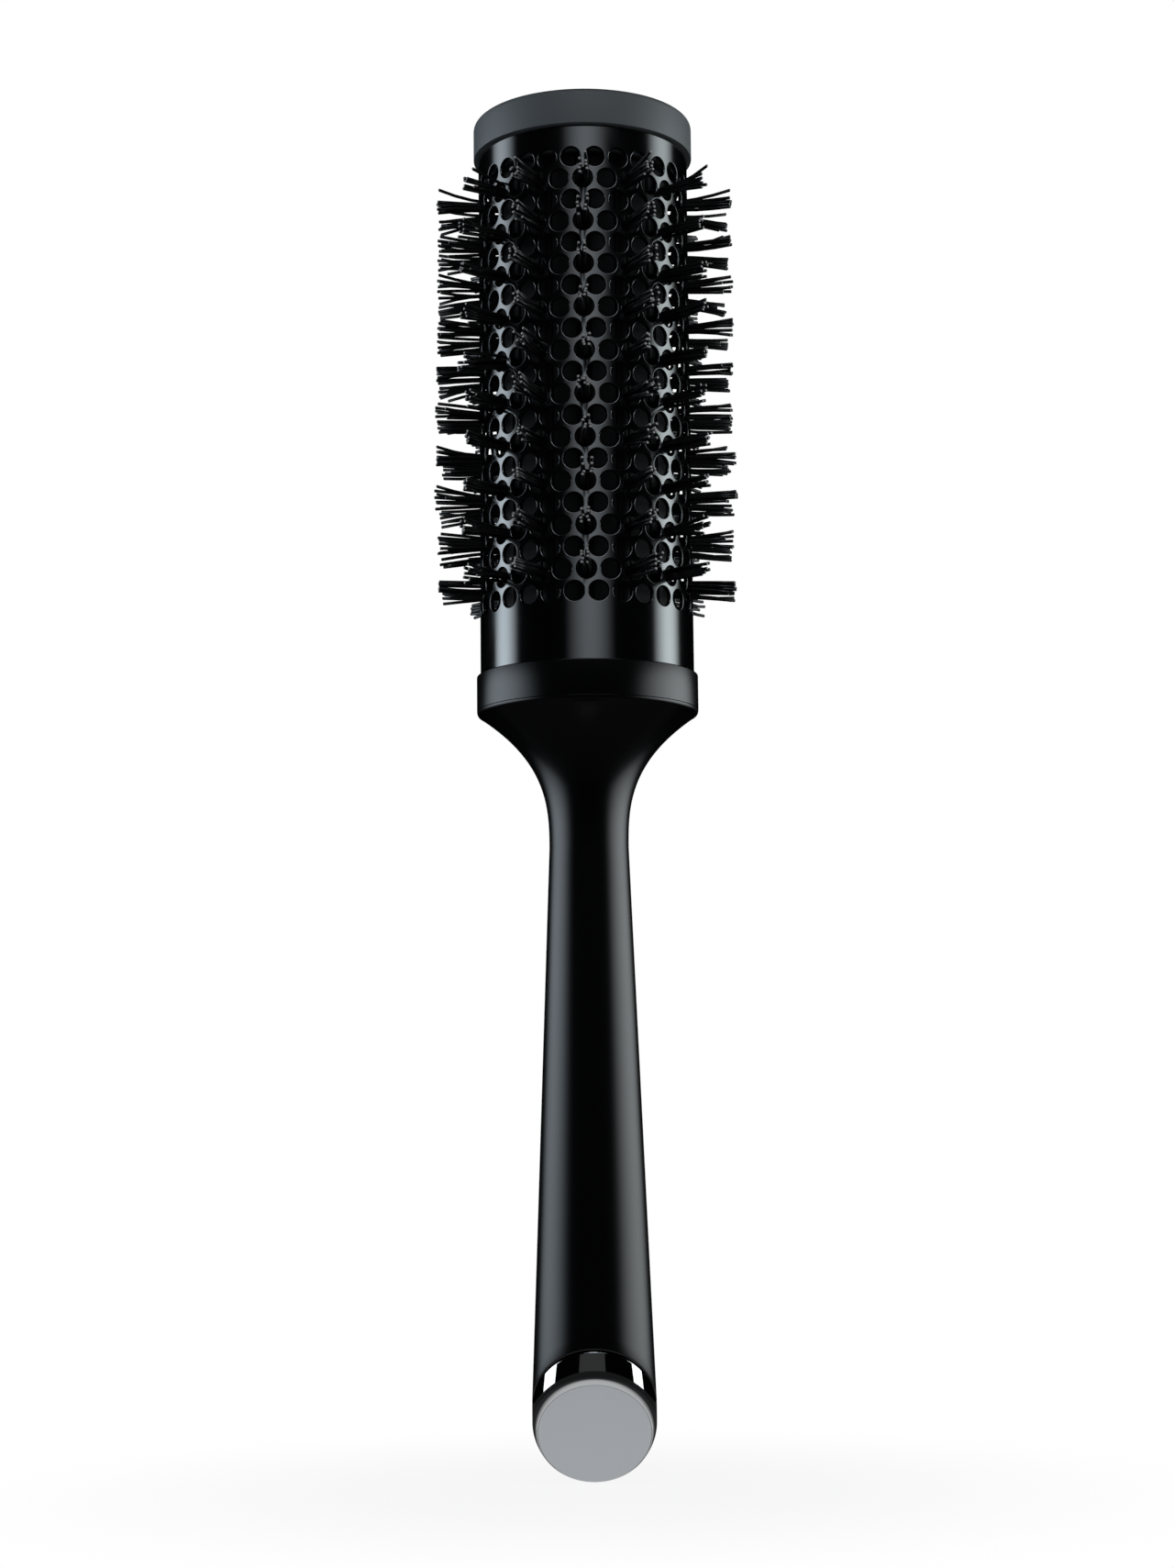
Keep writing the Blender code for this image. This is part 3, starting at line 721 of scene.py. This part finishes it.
# %% All strips
def make_strips():
    """One piece for each strip: its bar and its eighty filaments, turned to their line."""
    bar, bar_blocks = strip_mesh()
    for line in range(TUFT_LINES):
        draw = np.random.default_rng(FIRST_SEED + line)
        points, blocks, cut = filament_mesh(filament_lines(draw))
        blocks = [block + len(bar) for block in blocks] + bar_blocks
        points = np.concatenate([bar, points])
        angle = 2 * np.pi * line / TUFT_LINES
        out = points[:, 0] * np.sin(angle) + points[:, 1] * np.cos(angle)
        front = -points[:, 0] * np.cos(angle) + points[:, 1] * np.sin(angle)
        points = np.column_stack([out, front, points[:, 2]])
        strip = new_piece(f"bristles_{line + 1:02d}", points, blocks, bristle_nylon,
                          [f"bristle_strip_{line + 1:02d}"], sharp=50)
        # These marks drive painted light in the finish: a paler colour on the cut ends, partly a painted
        # highlight, and less gloss on the bar as painted shade.
        bar_shade_mask = np.arange(len(points)) < len(bar)
        for name, value in (("cut_end_tone_and_glint", np.concatenate([np.zeros(len(bar)), cut])), ("bar", bar_shade_mask)):
            mark = strip.data.attributes.new(name, "FLOAT", "POINT")
            mark.data.foreach_set("value", value.astype(float))


make_strips()

# %% [markdown]
# ## The cap and the collar
#
# Both are moulded in black plastic. The cap is a cup with a well-rounded shoulder, and a plug that goes
# into the barrel. Its surface is matt and catches light evenly. The collar is the ring that the barrel
# stands in, a little glossier, and its thin top edge catches a line of light.

# %% Finishes of the cap and the collar
cap_plastic = new_finish(
    "cap_plastic", (0.054, 0.060, 0.064), moulded_grain,
    {"Grains per Metre": 5000.0, "Smoothest": 0.48, "Roughest": 0.62}, bump=0.000006)
collar_plastic = new_finish(
    "collar_plastic", (0.0013, 0.0014, 0.0016), moulded_grain,
    {"Grains per Metre": 5000.0, "Smoothest": 0.18, "Roughest": 0.26}, bump=0.0000003)

# %% The cap
TURN_STEPS = 160
PLUG_R = BARREL_BORE_R - CLEARANCE
PLUG_BORE_R = PLUG_R - CAP_PLUG_WALL
CAP_SHOULDER = 0.0012


def make_cap():
    """The cap's section, from the middle of its top round to the middle of its ceiling."""
    profile = filleted([
        (0, CAP_TOP, 0), (CAP_R, CAP_TOP, CAP_SHOULDER), (CAP_R, CAP_BOTTOM, 0.00015),
        (PLUG_R, CAP_BOTTOM, 0), (PLUG_R, PLUG_BOTTOM, 0.0003), (PLUG_BORE_R, PLUG_BOTTOM, 0.0003),
        (PLUG_BORE_R, CAP_TOP - CAP_WALL, 0), (0, CAP_TOP - CAP_WALL, 0)], closed=False)
    points, blocks = welded(*turned(profile, TURN_STEPS, closed=False))
    new_piece("cap_shell", points, blocks, cap_plastic, ["end_cap"])


make_cap()

# %% The collar
COLLAR_BORE_R = BARREL_R + CLEARANCE


def make_collar():
    """The collar's section: a thin wall round the barrel's foot, and a floor under it."""
    floor_top = COLLAR_BOTTOM + COLLAR_FLOOR
    profile = filleted([
        (COLLAR_BORE_R, COLLAR_TOP, 0.0001), (COLLAR_R, COLLAR_TOP, 0.0002),
        (COLLAR_R, COLLAR_BOTTOM, JOINT), (BARREL_BORE_R, COLLAR_BOTTOM, 0),
        (BARREL_BORE_R, floor_top, 0), (COLLAR_BORE_R, floor_top, 0)])
    points, blocks = welded(*turned(profile, TURN_STEPS))
    new_piece("collar_ring", points, blocks, collar_plastic, ["barrel_collar"])


make_collar()

# %% [markdown]
# ## The handle
#
# A rigid core carries a soft-touch skin. From the collar the skin runs down a trumpet-shaped flare to a
# neck as thick as a thumb, then widens slowly to its slanted end. It is one smooth surface: the radius is
# a formula of the level, and level sections lean over towards the slanted end, gently over the last
# stretch.

# %% Finish of the handle
grip_soft_touch = new_finish(
    "grip_soft_touch", (0.0013, 0.0014, 0.0016), moulded_grain,
    {"Grains per Metre": 9000.0, "Smoothest": 0.20, "Roughest": 0.28}, bump=0.0000003)

# %% The radius along the handle
def grip_radius(level):
    """Neck radius, plus the flare as share ** FLARE_POWER above it, plus a straight cone below it."""
    flare = np.clip((level - FLARE_BOTTOM) / (FLARE_TOP - FLARE_BOTTOM), 0, 1)
    cone = np.clip((FLARE_BOTTOM - level) / (FLARE_BOTTOM - GRIP_CUT), 0, 1)
    return NECK_R + (FLARE_R - NECK_R) * flare ** FLARE_POWER + (GRIP_END_R - NECK_R) * cone


def lean_weight(level):
    """1 at the slanted end, 0 above the blend, and a softened ramp between them."""
    share = np.clip((SLANT_TOP - level) / SLANT_BLEND, 0, 1)
    return share + SLANT_EASE * share * (1 - share) * (2 * share - 1)


# %% The handle's skin
FLARE_STEPS = 40
FLARE_CROWDING = 1.2          # how much the flare's points crowd towards its lip
CONE_STEPS = 34
BACK_STEPS = 50               # up the inside


def make_grip():
    """The skin's section: down the outside, round the slanted edge, and up the inside."""
    flare = FLARE_TOP - (FLARE_TOP - FLARE_BOTTOM) * np.linspace(0, 1, FLARE_STEPS)[1:] ** FLARE_CROWDING
    cone = np.linspace(FLARE_BOTTOM, GRIP_CUT, CONE_STEPS)[1:-1]
    side = np.concatenate([flare, cone])
    lip_r = COLLAR_R - JOINT
    outer = [(lip_r, COLLAR_BOTTOM - JOINT, JOINT), (lip_r, FLARE_TOP, LIP_EDGE)]
    outer += [(radius, level, 0) for radius, level in zip(grip_radius(side), side)]
    outer += [(GRIP_END_R, GRIP_CUT, 0.0002), (GRIP_END_R - GRIP_WALL, GRIP_CUT, 0)]
    back = np.linspace(GRIP_CUT, COLLAR_BOTTOM - JOINT, BACK_STEPS)[1:]
    inner_radius = grip_radius(back - GRIP_WALL) - GRIP_WALL
    inner = [(radius, level, 0) for radius, level in zip(inner_radius, back)]
    profile = filleted(outer + inner)
    points, quads = turned(profile, TURN_STEPS)
    points, blocks = welded(leaned(points, lean_weight(points[:, 2])), quads)
    new_piece("grip_skin", points, blocks, grip_soft_touch, ["handle_grip"])


make_grip()

# %% [markdown]
# ## The slanted end
#
# A polished plug closes the handle. Only its band shows, between the skin and the disc: it is flush with
# the skin, has a small round shoulder, and its lower edge is rounded in to a thin rim. The disc lies inside
# the rim. It is satin metal, with a fine bevel.
#
# The rounding is as round at the back as at the front, although the cut is slanted. So it reaches further
# up the side at the back, where side and cut meet in a sharper corner. The section of the band changes on
# its way round, and this is why its turned grid gets a height for every angle.

# %% Finishes of the band and the disc
band_chrome = new_finish(
    "band_chrome", (0.42, 0.43, 0.435), handling_haze,
    {"Patches per Metre": 120.0, "Clean": 0.03, "Dull": 0.07}, Metallic=1.0)
plate_satin = new_finish(
    "plate_satin", (0.37, 0.39, 0.41), moulded_grain,
    {"Grains per Metre": 7000.0, "Smoothest": 0.3, "Roughest": 0.4}, bump=0.000002, Metallic=1.0)

# %% The band
HANDLE_BORE_R = 0.0050
BAND_SHOULDER = 0.0005
BAND_EDGE_STEPS = 12
PLATE_RISE = PLATE_THICKNESS / math.cos(END_SLANT)
PLATE_SEAT_R = END_RIM_R - END_RIM_WALL


def rounded_end():
    """The (radius, height) rows of the rounding, with a value for every angle t, as arcs of ellipses.

    A rounding of radius r between a side and a plane that leans by s starts r (1 - cos t sin s) / cos s
    above the plane. The arc stops short of a quarter turn, where the disc's edge cuts it off.
    """
    angle = 2 * np.pi * np.arange(TURN_STEPS) / TURN_STEPS
    reach = BAND_EDGE_R * (1 - np.cos(angle) * math.sin(END_SLANT)) / math.cos(END_SLANT)
    turn = np.linspace(0, BAND_EDGE_TURN, BAND_EDGE_STEPS)[:, None]
    inwards = (1 - np.cos(turn)) / (1 - math.cos(BAND_EDGE_TURN))
    downwards = np.sin(turn) / math.sin(BAND_EDGE_TURN)
    radius = GRIP_END_R - (GRIP_END_R - END_RIM_R) * inwards
    return np.stack([np.broadcast_to(radius, (len(turn), TURN_STEPS)),
                     END_PLANE + reach * (1 - downwards)], axis=1)


def make_band():
    """The plug's section before it leans: a spigot, the shoulder, the rounding, and a seat for the disc."""
    seat = END_PLANE + PLATE_RISE + CLEARANCE
    spigot_top = BAND_TOP + BAND_SPIGOT_LENGTH
    spigot_r = HANDLE_BORE_R - CLEARANCE
    upper = filleted([
        (0, spigot_top, 0), (spigot_r, spigot_top, 0.0003), (spigot_r, BAND_TOP, 0),
        (GRIP_END_R, BAND_TOP, BAND_SHOULDER), (GRIP_END_R, END_PLANE, 0)], closed=False)[:-1]
    lower = np.array([(PLATE_SEAT_R, END_PLANE), (PLATE_SEAT_R, seat), (0, seat)])
    upper, lower = (np.repeat(part[:, :, None], TURN_STEPS, axis=2) for part in (upper, lower))
    points, quads = turned(np.concatenate([upper, rounded_end(), lower]), TURN_STEPS, closed=False)
    points, blocks = welded(leaned(points, 1.0), quads)
    new_piece("end_band_ring", points, blocks, band_chrome, ["end_band"])


make_band()

# %% The disc
PLATE_BEVEL = 0.0001
PLATE_FIT = 0.00006           # between the disc and the rim


def make_plate():
    """The disc's section before it leans, with a bevel round its outer face."""
    radius = PLATE_SEAT_R - PLATE_FIT
    top = END_PLANE + PLATE_RISE
    profile = filleted([(0, top, 0), (radius, top, 0), (radius, END_PLANE, PLATE_BEVEL), (0, END_PLANE, 0)],
                       closed=False)
    points, quads = turned(profile, TURN_STEPS, closed=False)
    points, blocks = welded(leaned(points, 1.0), quads)
    new_piece("end_disc", points, blocks, plate_satin, ["end_plate"])


make_plate()

# %% [markdown]
# ## Inner pieces
#
# The carrier, its top disc, the rod with its nut and washer, and the handle's core keep their CAD shapes,
# because they can be seen only through the vents, or not at all. They still get finishes of their own: a
# moulded plastic for each plastic piece, tool marks along the drawn rod and round the pressed washer.

# %% Finishes of the inner pieces
core_plastic = new_finish(
    "core_plastic", (0.003, 0.0031, 0.0034), moulded_grain,
    {"Grains per Metre": 4000.0, "Smoothest": 0.5, "Roughest": 0.66}, bump=0.000006, Specular_IOR_Level=0.12)
top_disc_plastic = new_finish(
    "top_disc_plastic", (0.006, 0.006, 0.0066), moulded_grain,
    {"Grains per Metre": 4000.0, "Smoothest": 0.4, "Roughest": 0.55}, bump=0.000006)
handle_core_plastic = new_finish(
    "handle_core_plastic", (0.025, 0.025, 0.026), moulded_grain,
    {"Grains per Metre": 3500.0, "Smoothest": 0.45, "Roughest": 0.6}, bump=0.000008)
rod_steel = new_finish(
    "rod_steel", (0.55, 0.55, 0.56), tool_marks,
    {"Lines per Metre": 9000.0, "Smoothest": 0.28, "Roughest": 0.45}, bump=0.000004, Metallic=1.0)
fastener_steel = new_finish(
    "fastener_steel", (0.60, 0.60, 0.59), tool_marks,
    {"Lines per Metre": 7000.0, "Smoothest": 0.25, "Roughest": 0.4}, bump=0.000004, turn=(0, 90, 0),
    Metallic=1.0)

INNER_FINISHES = {
    "bristle_core": core_plastic,
    "core_top_disc": top_disc_plastic,
    "centre_rod": rod_steel,
    "rod_washer": fastener_steel,
    "rod_nut": fastener_steel,
    "handle_core": handle_core_plastic,
}
for name, finish in INNER_FINISHES.items():
    frame["nodes"][name].data.materials.clear()
    frame["nodes"][name].data.materials.append(finish)
print("carried-over nodes with a finish:", len(INNER_FINISHES))

# %% [markdown]
# ## The camera
#
# The brush is long and slim, so it is seen from well away with a long lens, from the height of its
# handle. The camera looks up a little and leans by half a degree.

# %% Camera
CAMERA_PLACE = Vector((-0.00031, -0.583, 0.06526))
CAMERA_RISE = math.radians(7.716)
CAMERA_ROLL = math.radians(0.555)
CAMERA_LENS = 64.41

forward = Vector((0, math.cos(CAMERA_RISE), math.sin(CAMERA_RISE)))
level_right = Vector((1, 0, 0))
level_up = level_right.cross(forward)
right = level_right * math.cos(CAMERA_ROLL) - level_up * math.sin(CAMERA_ROLL)
up = level_up * math.cos(CAMERA_ROLL) + level_right * math.sin(CAMERA_ROLL)
camera = bpy.data.objects.new("camera", bpy.data.cameras.new("camera"))
bpy.context.scene.collection.objects.link(camera)
camera.matrix_world = Matrix.Translation(CAMERA_PLACE) @ Matrix((right, up, -forward)).transposed().to_4x4()
camera.data.lens = CAMERA_LENS
bpy.context.scene.camera = camera
print("camera at", [round(value, 3) for value in camera.location])

# %% [markdown]
# ## Lamps
#
# Dark gloss shows the lamps themselves, so their shape matters more than their strength. Left and right
# of the barrel hang two narrow, bright soft boxes, and beside the handle two broad and weaker ones. Two
# panels hang high in front: one gives the barrel its middle band, and one lights the cap. A real soft box
# is brightest in its middle, so each of these fades towards its sides.
#
# In a studio, black cards keep light off a piece, and chrome gets white cards of its own, because it shows
# every edge of a lamp. Here a lamp simply lists what it lights. The two high boxes and the middle panel
# leave out the collar and the handle, whose middles stay dark, and the low boxes leave out the barrel and
# the polished band. Three cards, which hardly fade, light that band alone.

# %% Lamps
def hump(tree, across, rise, fall):
    """Nodes for u ** rise * (1 - u) ** fall, scaled to a top of 1, where u runs from 0 to 1 across a lamp.

    The top lies at u = rise / (rise + fall), so a small power gives a steep edge on its side.
    """
    rest = node(tree, "ShaderNodeMath", {"operation": "SUBTRACT"})
    rest.inputs[0].default_value = 1.0
    tree.links.new(across, rest.inputs[1])
    top = rise / (rise + fall)
    shape = node(tree, "ShaderNodeMath", {"operation": "MULTIPLY"})
    for side, (value, share, power) in enumerate(((across, top, rise), (rest.outputs[0], 1 - top, fall))):
        scaled = node(tree, "ShaderNodeMath", {"operation": "DIVIDE"})
        scaled.inputs[1].default_value = share
        tree.links.new(value, scaled.inputs[0])
        raised = node(tree, "ShaderNodeMath", {"operation": "POWER"})
        raised.inputs[1].default_value = power
        tree.links.new(scaled.outputs[0], raised.inputs[0])
        tree.links.new(raised.outputs[0], shape.inputs[side])
    return shape.outputs[0]


def soft_box(name, angle, distance, level, size, radiance, colour, powers):
    """A rectangular lamp at an angle from the front, facing the brush's axis.

    A lamp of power P and area A that shines on one side has the radiance P / (pi A). Here that is the
    radiance of its brightest place, and powers say how it fades: across it, and from its foot to its top.
    """
    lamp = bpy.data.lights.new(name, "AREA")
    lamp.shape = "RECTANGLE"
    lamp.size, lamp.size_y = size
    lamp.energy = radiance * math.pi * size[0] * size[1]
    lamp.color = colour
    lamp.use_nodes = True
    tree = lamp.node_tree
    place = node(tree, "ShaderNodeNewGeometry")
    across = node(tree, "ShaderNodeSeparateXYZ")
    tree.links.new(place.outputs["Parametric"], across.inputs[0])
    glow = node(tree, "ShaderNodeMath", {"operation": "MULTIPLY"})
    for side in range(2):
        tree.links.new(hump(tree, across.outputs[side], *powers[side]), glow.inputs[side])
    tree.links.new(glow.outputs[0], tree.nodes["Emission"].inputs["Strength"])
    placed = bpy.data.objects.new(name, lamp)
    bpy.context.scene.collection.objects.link(placed)
    turn = math.radians(angle)
    place = Vector((distance * math.sin(turn), -distance * math.cos(turn), level))
    towards = Vector((-place.x, -place.y, 0))
    placed.location = place
    placed.rotation_mode = "QUATERNION"
    placed.rotation_quaternion = towards.to_track_quat("-Z", "Y")
    placed.visible_camera = False
    return placed


high_lamps = [
    soft_box("left_high", -97.5, 0.9, 0.55, (0.66, 0.67), 4.6, (0.88, 1.0, 1.10), ((1.3, 1.5), (0.05, 0.95))),
    soft_box("right_high", 96, 0.90, 0.55, (0.72, 0.67), 4.9, (0.90, 1.0, 1.03), ((1.5, 1.5), (0.05, 0.75)))]
soft_box("top_panel", 3.5, 1.00, 1.15, (1.40, 0.60), 3.8, (0.92, 1.0, 1.08), ((1, 1), (0.2, 0.2)))
middle_panel = soft_box("middle_panel", 3.5, 1.20, 0.60, (1.25, 0.60), 1.15, (0.92, 1.0, 1.08),
                        ((2, 2), (0.1, 0.1)))
low_lamps = [
    soft_box("left_low", -93, 0.90, 0.02, (1.90, 0.75), 2.9, (0.88, 1.0, 1.10), ((3.1, 3.1), (0.6, 0.05))),
    soft_box("right_low", 95, 0.90, 0.02, (2.20, 0.75), 3.45, (0.94, 1.0, 1.03), ((3.4, 3.4), (0.6, 0.05)))]
HARD_EDGES = ((0.04, 0.04), (0.04, 0.04))
band_lamps = [
    soft_box("left_card", -92.5, 0.90, -0.01, (0.50, 0.69), 3.2, (0.97, 1.0, 1.03), HARD_EDGES),
    soft_box("right_card", 90, 0.90, -0.01, (0.40, 0.69), 3.2, (0.97, 1.0, 1.03), HARD_EDGES),
    soft_box("front_card", -3.5, 1.20, -0.08, (1.08, 0.60), 0.065, (1.0, 1.0, 1.0), HARD_EDGES)]


# %% What each lamp lights
def shine_on(lamps, name, is_lit):
    """Let lamps light only the pieces whose names pass a test. The name is that of the list."""
    lit = bpy.data.collections.new(name)
    for piece in bpy.context.scene.objects:
        if piece.type == "MESH" and is_lit(piece.name):
            lit.objects.link(piece)
    for lamp in lamps:
        lamp.light_linking.receiver_collection = lit


HANDLE_SIDE = ("collar_ring", "grip_skin", "end_band_ring")
shine_on(high_lamps + [middle_panel], "above_handle", lambda name: name not in HANDLE_SIDE)
shine_on(low_lamps, "below_barrel", lambda name: name not in ("barrel_tube", "end_band_ring"))
shine_on(band_lamps, "band_only", lambda name: name == "end_band_ring")

# %% [markdown]
# ## Floor, backdrop and world
#
# The brush stands on a pale floor in front of white. White must not come from more light on the brush, so
# the floor, a distant backdrop and the world are white to the camera, and to diffuse rays the world is a
# plain dim fill. Gloss sees a dark studio, apart from a white spot on the floor under the foot, which gives
# the satin disc its tone. Only pieces near the floor see that spot. The floor mixes some lit surface into
# its white, so the brush's shadow stays on it, and the mix fades out towards its edge.

# %% A mask for rays that look at a surface
def looking_rays(tree, kinds):
    """1 for rays of these kinds, 0 for the others."""
    path = node(tree, "ShaderNodeLightPath")
    mask = path.outputs[kinds[0]]
    for kind in kinds[1:]:
        both = node(tree, "ShaderNodeMath", {"operation": "MAXIMUM"})
        tree.links.new(mask, both.inputs[0])
        tree.links.new(path.outputs[kind], both.inputs[1])
        mask = both.outputs[0]
    return mask


# %% A mesh of the stage
def stage_object(name, points, faces):
    """The object with these points and faces, its shader tree, and the emission for its white."""
    mesh = bpy.data.meshes.new(name)
    mesh.from_pydata(points.tolist(), [], faces)
    made = bpy.data.objects.new(name, mesh)
    bpy.context.scene.collection.objects.link(made)
    finish = bpy.data.materials.new(f"{name}_white")
    finish.use_nodes = True
    mesh.materials.append(finish)
    tree = finish.node_tree
    tree.nodes.remove(tree.nodes["Principled BSDF"])
    return made, tree, node(tree, "ShaderNodeEmission", Color=(1, 1, 1, 1), Strength=1.0)


# %% Floor
FLOOR_R = 0.24
FLOOR_RINGS = 9
FLOOR_STEPS = 96
FLOOR_LIT = 0.10              # share of lit surface in the floor's white, at the brush
FLOOR_FADE = (0.02, 0.144)    # that share fades out between these distances
SPOT_R = 0.018                # spot under the foot that gloss sees as white
SPOT_FADE = 1.7               # it fades out up to this multiple of its radius
SPOT_SEEN = 0.12              # from further off, gloss doesn't see the spot
FLOOR_GLOSS = 0.02            # what gloss sees of the floor beyond it


def make_floor():
    """A disc as a polar grid: radius and angle are the two parameters."""
    radius = np.linspace(0, FLOOR_R, FLOOR_RINGS)
    profile = np.column_stack([radius, np.zeros_like(radius)])
    points, blocks = welded(*turned(profile, FLOOR_STEPS, closed=False))
    faces = [face for block in blocks for face in block.tolist()]
    floor, tree, white = stage_object("floor", points, faces)
    lit = node(tree, "ShaderNodeBsdfDiffuse", Color=(0.8, 0.8, 0.8, 1))
    place = node(tree, "ShaderNodeTexCoord")
    distance = node(tree, "ShaderNodeVectorMath", {"operation": "LENGTH"})
    tree.links.new(place.outputs["Object"], distance.inputs[0])
    fade = node(tree, "ShaderNodeMapRange", {"interpolation_type": "SMOOTHSTEP"},
                From_Min=FLOOR_FADE[0], From_Max=FLOOR_FADE[1], To_Min=1 - FLOOR_LIT, To_Max=1.0)
    tree.links.new(distance.outputs["Value"], fade.inputs["Value"])
    spot = node(tree, "ShaderNodeMapRange", {"interpolation_type": "SMOOTHSTEP"},
                From_Min=SPOT_R, From_Max=SPOT_R * SPOT_FADE, To_Min=1.0, To_Max=FLOOR_GLOSS)
    tree.links.new(distance.outputs["Value"], spot.inputs["Value"])
    level = node(tree, "ShaderNodeMix", A=1.0)
    path = node(tree, "ShaderNodeLightPath")
    tree.links.new(path.outputs["Is Glossy Ray"], level.inputs["Factor"])
    near = node(tree, "ShaderNodeMapRange", {"interpolation_type": "SMOOTHSTEP"},
                From_Min=SPOT_SEEN / 2, From_Max=SPOT_SEEN, To_Min=1.0, To_Max=FLOOR_GLOSS)
    tree.links.new(path.outputs["Ray Length"], near.inputs["Value"])
    glossy = node(tree, "ShaderNodeMath", {"operation": "MINIMUM"})
    tree.links.new(spot.outputs["Result"], glossy.inputs[0])
    tree.links.new(near.outputs["Result"], glossy.inputs[1])
    tree.links.new(glossy.outputs[0], level.inputs["B"])
    tree.links.new(level.outputs["Result"], white.inputs["Strength"])
    seen = looking_rays(tree, ["Is Camera Ray", "Is Glossy Ray", "Is Transmission Ray"])
    share = node(tree, "ShaderNodeMath", {"operation": "MULTIPLY"})
    tree.links.new(fade.outputs["Result"], share.inputs[0])
    tree.links.new(seen, share.inputs[1])
    mixed = node(tree, "ShaderNodeMixShader")
    tree.links.new(share.outputs[0], mixed.inputs["Fac"])
    tree.links.new(lit.outputs[0], mixed.inputs[1])
    tree.links.new(white.outputs[0], mixed.inputs[2])
    tree.links.new(mixed.outputs[0], tree.nodes["Material Output"].inputs["Surface"])


make_floor()

# %% Backdrop
BACKDROP_DISTANCE = 3.0
BACKDROP_WIDTH = 1.7
BACKDROP_HEIGHT = 2.3
BACKDROP_LEVEL = 0.55         # level of its middle


def make_backdrop():
    """An upright white sheet far behind the brush, with a point at each corner."""
    x = np.array([-1, 1, 1, -1]) * BACKDROP_WIDTH / 2
    z = np.array([-1, -1, 1, 1]) * BACKDROP_HEIGHT / 2 + BACKDROP_LEVEL
    points = np.column_stack([x, np.full(4, BACKDROP_DISTANCE), z])
    backdrop, tree, white = stage_object("backdrop", points, [(0, 1, 2, 3)])
    tree.links.new(looking_rays(tree, ["Is Camera Ray", "Is Transmission Ray"]), white.inputs["Strength"])
    tree.links.new(white.outputs[0], tree.nodes["Material Output"].inputs["Surface"])


make_backdrop()

# %% World
WORLD_FILL = 0.18             # light from all round on the brush
WORLD_GLOSS = 0.001           # what gloss sees of the dark studio


def make_world():
    """White to the camera, a dim studio to gloss, and a plain fill to all other rays."""
    world = bpy.data.worlds.new("studio")
    world.use_nodes = True
    tree = world.node_tree
    path = node(tree, "ShaderNodeLightPath")
    level = node(tree, "ShaderNodeMix")
    level.inputs["A"].default_value = WORLD_FILL
    level.inputs["B"].default_value = WORLD_GLOSS
    tree.links.new(path.outputs["Is Glossy Ray"], level.inputs["Factor"])
    seen = node(tree, "ShaderNodeMath", {"operation": "MAXIMUM"})
    tree.links.new(path.outputs["Is Camera Ray"], seen.inputs[0])
    tree.links.new(level.outputs["Result"], seen.inputs[1])
    tree.links.new(seen.outputs[0], tree.nodes["Background"].inputs["Strength"])
    tree.nodes["Background"].inputs["Color"].default_value = (1, 1, 1, 1)
    bpy.context.scene.world = world


make_world()
bpy.context.scene.view_settings.view_transform = "Standard"
